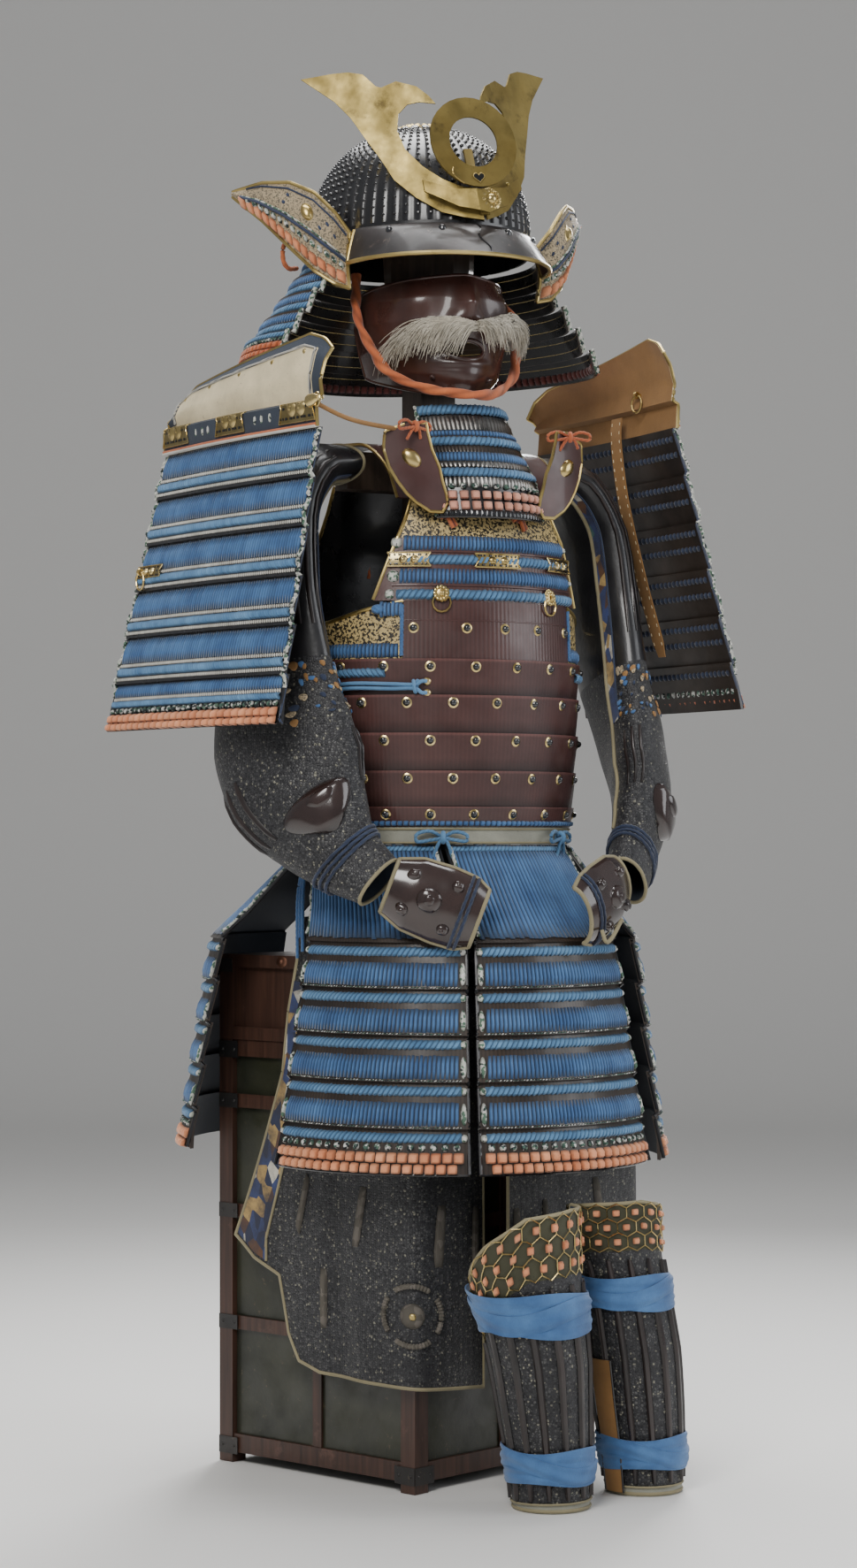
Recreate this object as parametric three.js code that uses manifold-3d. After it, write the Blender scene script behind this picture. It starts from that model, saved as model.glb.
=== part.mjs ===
// Samurai armour set out on its storage box, in millimetres, +Z up.
// The armour faces -Y, its own left side is +X, and its axis is x = 0, y = 0 until the last line.
import * as THREE from 'three';
import { mergeVertices } from 'three/addons/utils/BufferGeometryUtils.js';
import Module from 'manifold-3d';

const wasm = await Module();
wasm.setup();

// ---------- driving dimensions ----------
const GAP = 0.3; // between pieces that meet
const CLOTH = 2.6; // wall of mail cloth on its lining
const LEATHER = 2.4; // wall of leather and lacquered plate
const LACED = 5; // wall of a laced tier: plate, lacing and backing

const BOX = {
  side: 318, post: 22, panel: 8, inset: 7, turn: 17.5, x: 1, y: 52,
  foot: 10, body: 504, lid: 605,
};
const RAILS = [
  { z: 12, high: 22 }, { z: 159, high: 16 }, { z: 292, high: 16 },
  { z: 423, high: 16 }, { z: 484, high: 19.7 },
];
const HEAD = { x: -4, y: 8, turn: -6 };
const BOWL = { x: -3, y: 5, wide: 125, long: 156, rim: 1450, band: 1428, high: 131, wall: 3 };
const NECK = { tiers: 5, top: 1426, pitch: 25, tall: 27, spread: 67, wall: 3 };
const MASK = { wide: 84, long: 100, y: -22, top: 1392, bottom: 1254, spread: 100, wall: 3 };
const THROAT = { top: 1243, bottom: 1108, tiers: 5 };
const CUIRASS = { y: -20, hem: 736, waist: 756, chest: 1013, top: 1130, front: 40 };
const SHOULDER = { cap: 1232, body: 1200, bottom: 869, tiers: 6 };
const SKIRT = { top: 735.7, lames: 626, bottom: 369, tiers: 5 };
const APRON = { top: 650, lid: BOX.lid + GAP, wall: 2.6 };
const SHIN = { high: 333, wall: 3 };
const RING = { radius: 10.5, wire: 1.3, eye: 2.4, stud: 3.4 };

// ---------- small tools ----------
const deg = THREE.MathUtils.degToRad;
const lerp = THREE.MathUtils.lerp;
const vec = (x, y, z) => new THREE.Vector3(x, y, z);

// Reads every column of a table at one value of its first column, in straight steps between rows.
function read(table, key, value) {
  const last = table.length - 1;
  const rising = table[last][key] > table[0][key];
  let i = 0;
  while (i < last - 1 && (rising ? value > table[i + 1][key] : value < table[i + 1][key])) i += 1;
  const a = table[i];
  const b = table[i + 1];
  const t = THREE.MathUtils.clamp((value - a[key]) / (b[key] - a[key]), 0, 1);
  const row = {};
  for (const column of Object.keys(a)) row[column] = lerp(a[column], b[column], t);
  return row;
}

// A point on an ellipse, angle in degrees from the front (-Y) towards the armour's left (+X).
function onEllipse(angle, wide, long, z, x = 0, y = 0) {
  return vec(x + wide * Math.sin(deg(angle)), y - long * Math.cos(deg(angle)), z);
}

function volume(position, index) {
  const a = new THREE.Vector3();
  const b = new THREE.Vector3();
  const c = new THREE.Vector3();
  let six = 0;
  for (let i = 0; i < index.length; i += 3) {
    a.fromArray(position, 3 * index[i]);
    b.fromArray(position, 3 * index[i + 1]);
    c.fromArray(position, 3 * index[i + 2]);
    six += a.dot(b.cross(c));
  }
  return six / 6;
}

function solidFrom(points, index) {
  const position = points.flatMap((p) => p.toArray());
  if (volume(position, index) < 0) index.reverse();
  const geometry = new THREE.BufferGeometry();
  geometry.setAttribute('position', new THREE.Float32BufferAttribute(position, 3));
  geometry.setIndex(index);
  return geometry;
}

// A wall between two grids of points. point(u, v, depth) gives the face at depth 0 and the back at the wall's
// thickness, u and v from 0 to 1. A ring wall closes on itself across u.
function wall({ across, down, thick, point, ring = false }) {
  const columns = ring ? across : across + 1;
  const points = [];
  for (const depth of [0, thick]) {
    for (let j = 0; j <= down; j += 1) {
      for (let i = 0; i < columns; i += 1) points.push(point(i / across, j / down, depth));
    }
  }
  const back = columns * (down + 1);
  const at = (i, j, side) => side * back + j * columns + (i % columns);
  const index = [];
  const quad = (a, b, c, d) => index.push(a, b, c, a, c, d);
  for (let i = 0; i < across; i += 1) {
    for (let j = 0; j < down; j += 1) {
      quad(at(i, j, 0), at(i + 1, j, 0), at(i + 1, j + 1, 0), at(i, j + 1, 0));
      quad(at(i, j, 1), at(i, j + 1, 1), at(i + 1, j + 1, 1), at(i + 1, j, 1));
    }
    quad(at(i, 0, 0), at(i, 0, 1), at(i + 1, 0, 1), at(i + 1, 0, 0));
    quad(at(i, down, 0), at(i + 1, down, 0), at(i + 1, down, 1), at(i, down, 1));
  }
  if (!ring) {
    for (let j = 0; j < down; j += 1) {
      quad(at(0, j, 0), at(0, j + 1, 0), at(0, j + 1, 1), at(0, j, 1));
      quad(at(across, j, 0), at(across, j, 1), at(across, j + 1, 1), at(across, j + 1, 0));
    }
  }
  return solidFrom(points, index);
}

// The same body on the armour's other side.
function mirrored(geometry) {
  const plain = geometry.index ? geometry.clone() : mergeVertices(new THREE.BufferGeometry()
    .setAttribute('position', geometry.attributes.position), 1e-4);
  const { position } = plain.attributes;
  const points = Array.from({ length: position.count }, (_, i) => (
    vec(-position.getX(i), position.getY(i), position.getZ(i))));
  return solidFrom(points, Array.from(plain.index.array));
}

function block(x, y, z, sx, sy, sz) {
  return new THREE.BoxGeometry(sx, sy, sz).translate(x, y, z);
}

// ---------- joins and cuts ----------
function toManifold(geometry) {
  const plain = geometry.clone();
  plain.deleteAttribute('normal');
  plain.deleteAttribute('uv');
  const merged = mergeVertices(plain, 1e-4);
  const vertProperties = new Float32Array(merged.attributes.position.array);
  const triVerts = new Uint32Array(merged.index.array);
  return new wasm.Manifold(new wasm.Mesh({ numProp: 3, vertProperties, triVerts }));
}

function fromManifold(manifold) {
  const mesh = manifold.getMesh();
  const geometry = new THREE.BufferGeometry();
  geometry.setAttribute('position', new THREE.Float32BufferAttribute(mesh.vertProperties, 3));
  geometry.setIndex(Array.from(mesh.triVerts));
  return geometry;
}

function joined(...geometries) {
  return fromManifold(geometries.map(toManifold).reduce((sum, next) => sum.add(next)));
}

function cut(base, ...tools) {
  return fromManifold(tools.map(toManifold).reduce((rest, next) => rest.subtract(next), toManifold(base)));
}

// ---------- the object and its groups ----------
const group = new THREE.Group();
const armour = new THREE.Group();
const head = new THREE.Group();
head.position.set(HEAD.x, HEAD.y, 0);
head.rotation.z = deg(HEAD.turn);
const box = new THREE.Group();
box.position.set(BOX.x, BOX.y, 0);
box.rotation.z = deg(BOX.turn);
armour.add(head, box);
group.add(armour);

const FINISH = {
  wood: { color: 0x4a2a20, roughness: 0.6 },
  panel: { color: 0x23281c, roughness: 0.55 },
  blackLacquer: { color: 0x121214, roughness: 0.3 },
  russetLacquer: { color: 0x3a1a17, roughness: 0.32 },
  brass: { color: 0xb08d34, roughness: 0.32, metalness: 1 },
  leather: { color: 0xb99d6e, roughness: 0.8 },
  tan: { color: 0x9a6a35, roughness: 0.75 },
  goldLeather: { color: 0xa98a4c, roughness: 0.6 },
  blueLacing: { color: 0x2d5f9e, roughness: 0.85 },
  mail: { color: 0x1b1b1d, roughness: 0.7 },
  hair: { color: 0xd9cfb8, roughness: 0.9 },
  orangeCloth: { color: 0xc4542c, roughness: 0.85 },
};

function add(parent, name, finish, geometry) {
  const { metalness = 0, ...rest } = FINISH[finish];
  const mesh = new THREE.Mesh(geometry, new THREE.MeshStandardMaterial({ ...rest, metalness }));
  mesh.name = name;
  parent.add(mesh);
  return mesh;
}

// ---------- storage box ----------
const half = BOX.side / 2;

function notchedSquare(side, notch) {
  const shape = new THREE.Shape();
  for (let corner = 0; corner < 4; corner += 1) {
    const turn = (corner * Math.PI) / 2;
    const c = Math.cos(turn);
    const s = Math.sin(turn);
    for (const [x, y] of [[side, notch], [notch, notch], [notch, side]]) {
      const px = x * c - y * s;
      const py = x * s + y * c;
      if (corner === 0 && x === side) shape.moveTo(px, py);
      else shape.lineTo(px, py);
    }
  }
  shape.closePath();
  return shape;
}

function boxBody() {
  const face = half - BOX.inset - GAP;
  const corner = half - BOX.post - GAP;
  const floor = BOX.foot + 12;
  const prism = (side, notch, from, to) => {
    const options = { depth: to - from, bevelEnabled: false };
    return new THREE.ExtrudeGeometry(notchedSquare(side, notch), options).translate(0, 0, from);
  };
  const outer = prism(face, corner, BOX.foot + 4, BOX.body - GAP);
  return cut(outer, prism(face - BOX.panel, corner - BOX.panel, floor, BOX.body + 10));
}

function boxFrame() {
  const rail = BOX.inset;
  const pieces = [];
  for (let corner = 0; corner < 4; corner += 1) {
    const turned = (geometry) => geometry.rotateZ((corner * Math.PI) / 2);
    const middle = half - BOX.post / 2;
    pieces.push(turned(block(middle, middle, (BOX.body - GAP) / 2, BOX.post, BOX.post, BOX.body - GAP)));
    const run = BOX.side - BOX.post * 1.5;
    for (const { z, high } of RAILS) {
      pieces.push(turned(block(0, -half + rail / 2 + 1, z + high / 2, run, rail - 2, high)));
    }
    const top = RAILS[RAILS.length - 1].z + 2;
    const low = RAILS[0].z + 2;
    pieces.push(turned(block(0, -half + rail / 2 + 2, (top + low) / 2, 14, rail - 4, top - low)));
  }
  return joined(...pieces);
}

function boxLid() {
  const low = BOX.body;
  const high = BOX.lid;
  const tall = high - low;
  const inside = half - 15;
  const tools = [block(0, 0, low + (tall - 12) / 2 - 1, 2 * inside, 2 * inside, tall - 10)];
  for (let side = 0; side < 4; side += 1) {
    const recess = block(0, -half + 2, low + tall / 2, BOX.side - 2 * BOX.post, 8, tall - 30);
    tools.push(recess.rotateZ((side * Math.PI) / 2));
  }
  return cut(block(0, 0, low + tall / 2, BOX.side, BOX.side, tall), ...tools);
}

add(box, 'box_body', 'panel', boxBody());
add(box, 'box_frame', 'wood', boxFrame());
add(box, 'box_lid', 'wood', boxLid());

// ---------- stand inside the armour ----------
function stand() {
  const foot = BOX.lid + GAP;
  const bar = { z: 1172, high: 44, long: 236, deep: 30 };
  const neck = 1330;
  const crown = 1568;
  const skull = new THREE.LatheGeometry([
    new THREE.Vector2(0, neck), new THREE.Vector2(44, neck), new THREE.Vector2(50, neck + 60),
    new THREE.Vector2(56, crown - 60), new THREE.Vector2(44, crown - 16), new THREE.Vector2(0, crown),
  ], 12).rotateX(Math.PI / 2).scale(1, 1.15, 1);
  return joined(
    block(0, 0, foot + 9, 210, 150, 18),
    block(0, 0, (foot + neck) / 2 + 8, 46, 46, neck - foot),
    block(0, 0, bar.z, bar.long, bar.deep, bar.high),
    skull,
  );
}

add(armour, 'stand', 'wood', stand());

// ---------- helmet ----------
// A point on the bowl for a rise from 0 at the rim to 1 at the crown.
function onBowl(angle, rise, grow = 0) {
  const t = deg(84 * rise);
  const spread = Math.cos(t) ** 0.85;
  const z = BOWL.rim + (BOWL.high + grow) * Math.sin(t);
  return onEllipse(angle, (BOWL.wide + grow) * spread, (BOWL.long + grow) * spread, z, BOWL.x, BOWL.y);
}

function helmetBowl() {
  const rows = 7;
  return wall({
    across: 28, down: rows, thick: BOWL.wall, ring: true,
    point: (u, v, depth) => {
      if (v === 0) return onEllipse(360 * u, BOWL.wide - depth, BOWL.long - depth, BOWL.band, BOWL.x, BOWL.y);
      return onBowl(360 * u, (v * rows - 1) / (rows - 1), -depth);
    },
  });
}

function visor() {
  const spread = 62;
  return wall({
    across: 14, down: 3, thick: LEATHER,
    point: (u, v, depth) => {
      const angle = lerp(-spread, spread, u);
      const reach = 38 * Math.cos((deg(angle) * 90) / (spread + 6)) ** 0.7 + 4;
      const out = GAP + LEATHER + 0.6 + reach * v;
      const drop = 4 + 40 * v ** 1.25;
      const grow = out - depth * 0.5;
      const z = BOWL.rim - drop - depth * 0.8;
      return onEllipse(angle, BOWL.wide + grow, BOWL.long + grow, z, BOWL.x, BOWL.y);
    },
  });
}

// Turn-back: the top neck tier's front end, folded out into a leaf that sweeps back to a point.
const TURNBACK = [
  { s: 0, x: 120, y: -64, top: 1442, bottom: 1378 },
  { s: 0.2, x: 138, y: -64, top: 1464, bottom: 1382 },
  { s: 0.4, x: 158, y: -50, top: 1488, bottom: 1398 },
  { s: 0.6, x: 179, y: -24, top: 1503, bottom: 1428 },
  { s: 0.8, x: 201, y: 6, top: 1506, bottom: 1462 },
  { s: 1, x: 224, y: 42, top: 1500, bottom: 1494 },
];

function turnback(side) {
  return wall({
    across: 10, down: 3, thick: 3,
    point: (u, v, depth) => {
      const row = read(TURNBACK, 's', u);
      const belly = 9 * Math.sin(Math.PI * v) * Math.sin(Math.PI * (0.15 + 0.7 * u));
      const out = belly - depth;
      const z = lerp(row.bottom, row.top, v);
      return vec(side * (row.x + 0.81 * out), row.y - 0.58 * out, z);
    },
  });
}

// Outline of the neck guard at a height: it flares towards the shoulders and the back.
const NECK_FLARE = [
  { z: NECK.top, wide: 127, front: 132, back: 164 },
  { z: 1380, wide: 160, front: 138, back: 196 },
  { z: 1290, wide: 228, front: 154, back: 262 },
];

function onNeck(angle, z, grow) {
  const row = read(NECK_FLARE, 'z', z);
  const behind = THREE.MathUtils.smoothstep(Math.abs(angle), NECK.spread, 180);
  const long = lerp(row.front, row.back, behind);
  return onEllipse(angle, row.wide + grow, long + grow, z);
}

function neckTier(number) {
  const top = NECK.top - NECK.pitch * number;
  return wall({
    across: 16, down: 2, thick: NECK.wall,
    point: (u, v, depth) => {
      const angle = lerp(NECK.spread, 360 - NECK.spread, u);
      return onNeck(angle > 180 ? angle - 360 : angle, top - NECK.tall * v, 9 - 11 * v - depth);
    },
  });
}

add(head, 'helmet_bowl', 'blackLacquer', helmetBowl());
add(head, 'visor', 'russetLacquer', visor());
add(head, 'turnback_right', 'leather', turnback(-1));
add(head, 'turnback_left', 'leather', turnback(1));
for (let tier = 0; tier < NECK.tiers; tier += 1) {
  add(head, `neck_guard_${tier + 1}`, 'blueLacing', neckTier(tier));
}

// Crest: two flat horns swept back from the middle, a flat disc with a hole, and a base band
// across the bowl's front.
const CREST = {
  y: -169, z: 1473, lean: 12, roll: -6, sweep: 28.6, plate: 2,
  discRadius: 54, discHole: 30, discRise: 66,
};
const crest = new THREE.Group();
crest.position.set(0, CREST.y, CREST.z);
crest.rotation.set(deg(-CREST.lean), deg(CREST.roll), 0);
head.add(crest);

// Outline of one horn from its foot up the outer edge to the point, over the two lobes and down
// the inner edge.
const HORN = [
  [2, -26], [24, -18], [48, -7], [74, 16], [95, 42], [106, 70], [119, 98], [131, 125],
  [146, 148], [179, 182], [143, 181], [124, 179], [108, 173], [96, 156], [90, 153],
  [72, 157], [50, 146], [38, 132], [32, 121], [50, 127], [64, 127], [76, 118], [81, 99],
  [76, 75], [60, 51], [40, 31], [20, 18], [2, 12],
];

function hornShape() {
  return new THREE.Shape(HORN.map(([x, z]) => new THREE.Vector2(x, z)));
}

function flatPlate(shape, thick, segments) {
  const options = { depth: thick, bevelEnabled: false, curveSegments: segments };
  const geometry = new THREE.ExtrudeGeometry(shape, options);
  return geometry.rotateX(Math.PI / 2).translate(0, thick / 2, 0);
}

function crestHorns() {
  const left = flatPlate(hornShape(), CREST.plate, 3).rotateZ(deg(CREST.sweep));
  return joined(left, mirrored(left), block(0, 1.2, -6, 12, 4, 28));
}

function crestDisc() {
  const disc = new THREE.Shape();
  disc.absarc(0, CREST.discRise, CREST.discRadius, 0, 2 * Math.PI, false);
  const hole = new THREE.Path();
  hole.absarc(0, CREST.discRise, CREST.discHole, 0, 2 * Math.PI, true);
  disc.holes.push(hole);
  const plate = flatPlate(disc, CREST.plate, 16);
  return plate.translate(0, -CREST.plate - 2, 0);
}

function crestBase() {
  const outline = [
    { s: 0, low: -22, high: 6 },
    { s: 0.5, low: -9, high: 12 },
    { s: 1, low: 16, high: 30 },
  ];
  return wall({
    across: 12, down: 2, thick: 2,
    point: (u, v, depth) => {
      const across = 2 * u - 1;
      const row = read(outline, 's', Math.abs(across));
      const x = 62 * across;
      const back = Math.tan(deg(CREST.sweep)) * Math.abs(x);
      const front = Math.hypot(back, 6) - 6 - 8;
      return vec(x, Math.min(front, back - 5) - 4 + depth, lerp(row.low, row.high, v));
    },
  });
}

add(crest, 'crest_horns', 'brass', crestHorns());
add(crest, 'crest_disc', 'brass', crestDisc());
add(crest, 'crest_base', 'brass', crestBase());

// ---------- face ----------
// Half mask on plain proportions: nose, open mouth, round chin.
const MASK_PROFILE = [
  { z: MASK.top, out: -2, wide: 80 },
  { z: 1366, out: 3, wide: 84 },
  { z: 1340, out: 5, wide: 85 },
  { z: 1310, out: 2, wide: 82 },
  { z: 1280, out: 1, wide: 74 },
  { z: MASK.bottom, out: -8, wide: 58 },
];

function mask() {
  const shell = wall({
    across: 14, down: 8, thick: MASK.wall,
    point: (u, v, depth) => {
      const angle = lerp(-MASK.spread, MASK.spread, u);
      const ends = Math.abs(angle) / MASK.spread;
      const cheek = 26 * Math.max(0, ends - 0.1) * (1 - v) * 0.5;
      const z = lerp(MASK.top, MASK.bottom, v) - cheek + 30 * v * ends ** 2;
      const row = read(MASK_PROFILE, 'z', z);
      const bridge = Math.exp(-((angle / 9) ** 2));
      const nose = 22 * bridge * Math.max(0, 1 - Math.abs(v - 0.24) / 0.3);
      const chin = 10 * Math.exp(-((angle / 22) ** 2)) * Math.exp(-(((v - 0.86) / 0.16) ** 2));
      const long = MASK.long + row.out + nose + chin;
      return onEllipse(angle, row.wide + row.out - depth, long - depth, z, 0, MASK.y);
    },
  });
  const mouth = new THREE.CylinderGeometry(12, 12, 80, 10).scale(2.5, 1, 1);
  return cut(shell, mouth.translate(0, MASK.y - MASK.long, 1307));
}

// A tube along points whose radius may change from point to point, closed at both ends.
function taperedTube(points, radii, sides, flat = 1) {
  const curve = new THREE.CatmullRomCurve3(points);
  const last = points.length - 1;
  const frames = curve.computeFrenetFrames(last, false);
  const rings = points.map((centre, k) => {
    const t = k / last;
    const along = curve.getTangent(t);
    const side = new THREE.Vector3().crossVectors(along, vec(0, 0, 1)).normalize();
    const up = new THREE.Vector3().crossVectors(side, along).normalize();
    return Array.from({ length: sides }, (_, i) => {
      const turn = (2 * Math.PI * i) / sides;
      return centre.clone()
        .addScaledVector(side, flat * radii[k] * Math.cos(turn))
        .addScaledVector(up, radii[k] * Math.sin(turn));
    });
  });
  const all = rings.flat();
  const index = [];
  for (let k = 0; k < last; k += 1) {
    for (let i = 0; i < sides; i += 1) {
      const a = k * sides + i;
      const b = k * sides + ((i + 1) % sides);
      index.push(a, b, b + sides, a, b + sides, a + sides);
    }
  }
  for (let i = 1; i < sides - 1; i += 1) {
    index.push(0, i + 1, i);
    const end = last * sides;
    index.push(end, end + i, end + i + 1);
  }
  return solidFrom(all, index);
}

function onMask(angle, z, out) {
  const row = read(MASK_PROFILE, 'z', z);
  return onEllipse(angle, row.wide + row.out + out, MASK.long + row.out + out, z, 0, MASK.y);
}

const MOUSTACHE = [
  { angle: -56, z: 1304, radius: 5 },
  { angle: -44, z: 1316, radius: 11 },
  { angle: -28, z: 1330, radius: 15 },
  { angle: -10, z: 1334, radius: 10 },
  { angle: 0, z: 1330, radius: 8 },
  { angle: 12, z: 1334, radius: 11 },
  { angle: 30, z: 1338, radius: 19 },
  { angle: 46, z: 1332, radius: 17 },
  { angle: 57, z: 1318, radius: 8 },
];

function moustache() {
  const points = MOUSTACHE.map(({ angle, z, radius }) => {
    const underNose = 12 * Math.exp(-((angle / 14) ** 2));
    return onMask(angle, z, radius * 0.75 + 3 + underNose);
  });
  return taperedTube(points, MOUSTACHE.map((row) => row.radius), 8, 0.7);
}

// Orange cord from the helmet's rim, in front of the cheek, under the chin and up the other side.
const CHIN_CORD = [
  { angle: -96, z: 1404, out: 12 }, { angle: -92, z: 1384, out: 12 }, { angle: -82, z: 1358, out: 14 },
  { angle: -76, z: 1334, out: 14 }, { angle: -68, z: 1306, out: 15 }, { angle: -58, z: 1280, out: 18 },
  { angle: -40, z: 1262, out: 22 }, { angle: -18, z: 1254, out: 28 }, { angle: 4, z: 1252, out: 30 },
  { angle: 24, z: 1256, out: 25 }, { angle: 42, z: 1266, out: 20 }, { angle: 58, z: 1284, out: 17 },
  { angle: 68, z: 1308, out: 15 }, { angle: 76, z: 1336, out: 14 }, { angle: 82, z: 1360, out: 14 },
  { angle: 92, z: 1384, out: 12 }, { angle: 96, z: 1404, out: 12 },
];

function chinCord() {
  const points = CHIN_CORD.map(({ angle, z, out }) => onMask(angle, z, out));
  return taperedTube(points, CHIN_CORD.map(() => 6.5), 8);
}

// Throat guard: laced tiers that start round under the chin and lie nearly flat over the chest plate.
const THROAT_FORM = [
  { z: THROAT.top, y: -22, wide: 65, long: 93, spread: 60 },
  { z: 1190, y: -42, wide: 78, long: 100, spread: 54 },
  { z: 1155, y: -62, wide: 88, long: 100, spread: 50 },
  { z: THROAT.bottom, y: -72, wide: 95, long: 100, spread: 47 },
];

function throatGuard() {
  const rows = 2 * THROAT.tiers;
  return wall({
    across: 8, down: rows, thick: 4,
    point: (u, v, depth) => {
      const step = Math.round(v * rows);
      const z = lerp(THROAT.top, THROAT.bottom, v) + (step % 2 === 0 && step < rows ? -2 : 0);
      const row = read(THROAT_FORM, 'z', z);
      const angle = lerp(-row.spread, row.spread, u);
      const proud = (step % 2 === 0 ? 3 : 0) - depth;
      return onEllipse(angle, row.wide + proud, row.long + proud, z, 0, row.y);
    },
  });
}

add(head, 'mask', 'russetLacquer', mask());
add(head, 'moustache', 'hair', moustache());
add(head, 'chin_cord', 'orangeCloth', chinCord());
add(armour, 'throat_guard', 'blueLacing', throatGuard());

// ---------- cuirass ----------
const TRUNK = [
  { z: CUIRASS.hem, wide: 160, long: 136 },
  { z: 776, wide: 164, long: 140 },
  { z: 860, wide: 169, long: 145 },
  { z: 946, wide: 171, long: 147 },
  { z: CUIRASS.chest, wide: 168, long: 145 },
  { z: 1085, wide: 160, long: 136 },
  { z: CUIRASS.top, wide: 150, long: 120 },
  { z: 1180, wide: 142, long: 108 },
];

function onTrunk(angle, z, out = 0) {
  const row = read(TRUNK, 'z', z);
  return onEllipse(angle, row.wide + out, row.long + out, z, 0, CUIRASS.y);
}

// A trunk piece whose side edges follow a table of spreads by height.
function trunkPiece({ edges, top, bottom, across, down, thick = LEATHER, out = 0, middle = 0 }) {
  return wall({
    across, down, thick,
    point: (u, v, depth) => {
      const high = typeof top === 'number' ? top : read(top, 'u', u).z;
      const z = lerp(high, bottom, v);
      const spread = read(edges, 'z', z);
      const angle = middle + lerp(spread.from, spread.to, u);
      return onTrunk(angle, z, out - depth);
    },
  });
}

const same = (from, to) => [{ z: 1200, from, to }, { z: 700, from, to }];

// Full lames, each standing outside the foot of the one above.
const LAMES = [
  { top: 947, bottom: 902 }, { top: 906, bottom: 859 }, { top: 863, bottom: 816 },
  { top: 820, bottom: 775 }, { top: 779, bottom: CUIRASS.waist },
];

function lame({ top, bottom }) {
  return wall({
    across: 24, down: 1, thick: 2.2, ring: true,
    point: (u, v, depth) => onTrunk(360 * u, lerp(top, bottom, v), lerp(3.4, 0.3, v) - depth),
  });
}

function sidePiece(side) {
  const from = CUIRASS.front + 0.3;
  const to = 131.6;
  const edges = [
    { z: 1040, from: side * (from + 9), to: side * to },
    { z: 1016, from: side * (from + 7), to: side * to },
    { z: 1012, from: side * from, to: side * to },
    { z: 900, from: side * from, to: side * to },
  ];
  const top = [
    { u: 0, z: 1012.4 }, { u: 0.18, z: 1003 }, { u: 0.4, z: 990 }, { u: 0.6, z: 988 },
    { u: 0.8, z: 996 }, { u: 1, z: 1012 },
  ];
  return trunkPiece({ edges, top, bottom: LAMES[0].top + GAP, across: 12, down: 2 });
}

// A stud standing out of a wall; a ring hangs through its eye. `facing` turns it from the front to its wall.
function studEye(at, facing, reach) {
  const stud = block(0, -reach / 2 + 1, 0, RING.stud, reach + 2, 9.6);
  const eye = new THREE.CylinderGeometry(RING.eye, RING.eye, 12, 10).rotateZ(Math.PI / 2);
  return cut(stud, eye.translate(0, 3.6 - reach, 0)).rotateZ(facing).translate(at.x, at.y, at.z);
}

function hangingRing(at, facing, reach) {
  const ring = new THREE.TorusGeometry(RING.radius, RING.wire, 6, 12).rotateX(Math.PI / 2);
  ring.translate(0, 3.6 - reach, -RING.radius);
  return ring.rotateZ(facing).translate(at.x, at.y, at.z);
}

const CHEST_STUD = { angle: 25, turn: 21.5, z: 1021, reach: 9 };

function frontLame() {
  return wall({
    across: 10, down: 2, thick: LEATHER,
    point: (u, v, depth) => {
      const z = lerp(CUIRASS.chest - GAP, LAMES[0].top + GAP, v);
      return onTrunk(lerp(-CUIRASS.front, CUIRASS.front, u), z, 1.2 - depth);
    },
  });
}

function chestFront() {
  const edges = [{ z: 1086, from: -43, to: 43 }, { z: CUIRASS.chest, from: -53, to: 53 }];
  const plate = trunkPiece({ edges, top: 1085, bottom: CUIRASS.chest, across: 12, down: 3, out: 1 });
  const studs = [-1, 1].map((side) => {
    const at = onTrunk(side * CHEST_STUD.angle, CHEST_STUD.z, 0);
    return studEye(at, deg(side * CHEST_STUD.turn), CHEST_STUD.reach);
  });
  return joined(plate, ...studs);
}

function chestRing(side) {
  const at = onTrunk(side * CHEST_STUD.angle, CHEST_STUD.z, 0);
  return hangingRing(at, deg(side * CHEST_STUD.turn), CHEST_STUD.reach);
}

add(armour, 'chest_plate', 'goldLeather', trunkPiece({
  edges: [{ z: CUIRASS.top, from: -37, to: 37 }, { z: 1085, from: -43, to: 43 }],
  top: CUIRASS.top, bottom: 1085 + GAP, across: 10, down: 2, out: 1,
}));
add(armour, 'chest_front', 'blueLacing', chestFront());
add(armour, 'front_lame', 'russetLacquer', frontLame());
add(armour, 'back_plate', 'blackLacquer', trunkPiece({
  edges: [
    { z: 1170, from: 142, to: 218 }, { z: 1100, from: 138, to: 222 },
    { z: 1010, from: 132, to: 228 }, { z: 900, from: 132, to: 228 },
  ],
  top: [{ u: 0, z: 1160 }, { u: 0.5, z: 1172 }, { u: 1, z: 1160 }],
  bottom: LAMES[0].top + GAP, across: 14, down: 5,
}));
add(armour, 'side_right', 'goldLeather', sidePiece(-1));
add(armour, 'side_left', 'goldLeather', sidePiece(1));
LAMES.forEach((row, i) => add(armour, `cuirass_lame_${i + 1}`, 'russetLacquer', lame(row)));
add(armour, 'hem_band', 'leather', wall({
  across: 24, down: 1, thick: LEATHER, ring: true,
  point: (u, v, depth) => onTrunk(360 * u, lerp(CUIRASS.waist - GAP, CUIRASS.hem + GAP, v), 0.4 - depth),
}));

// Shoulder straps over the stand's bar, from the back plate to the chest plate.
const STRAP = [
  { x: 86, y: -109, z: 1131 }, { x: 92, y: -96, z: 1166 }, { x: 96, y: -60, z: 1192 },
  { x: 97, y: -20, z: 1198 }, { x: 96, y: 24, z: 1199 }, { x: 92, y: 58, z: 1193 },
  { x: 84, y: 76, z: 1178 },
];

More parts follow.
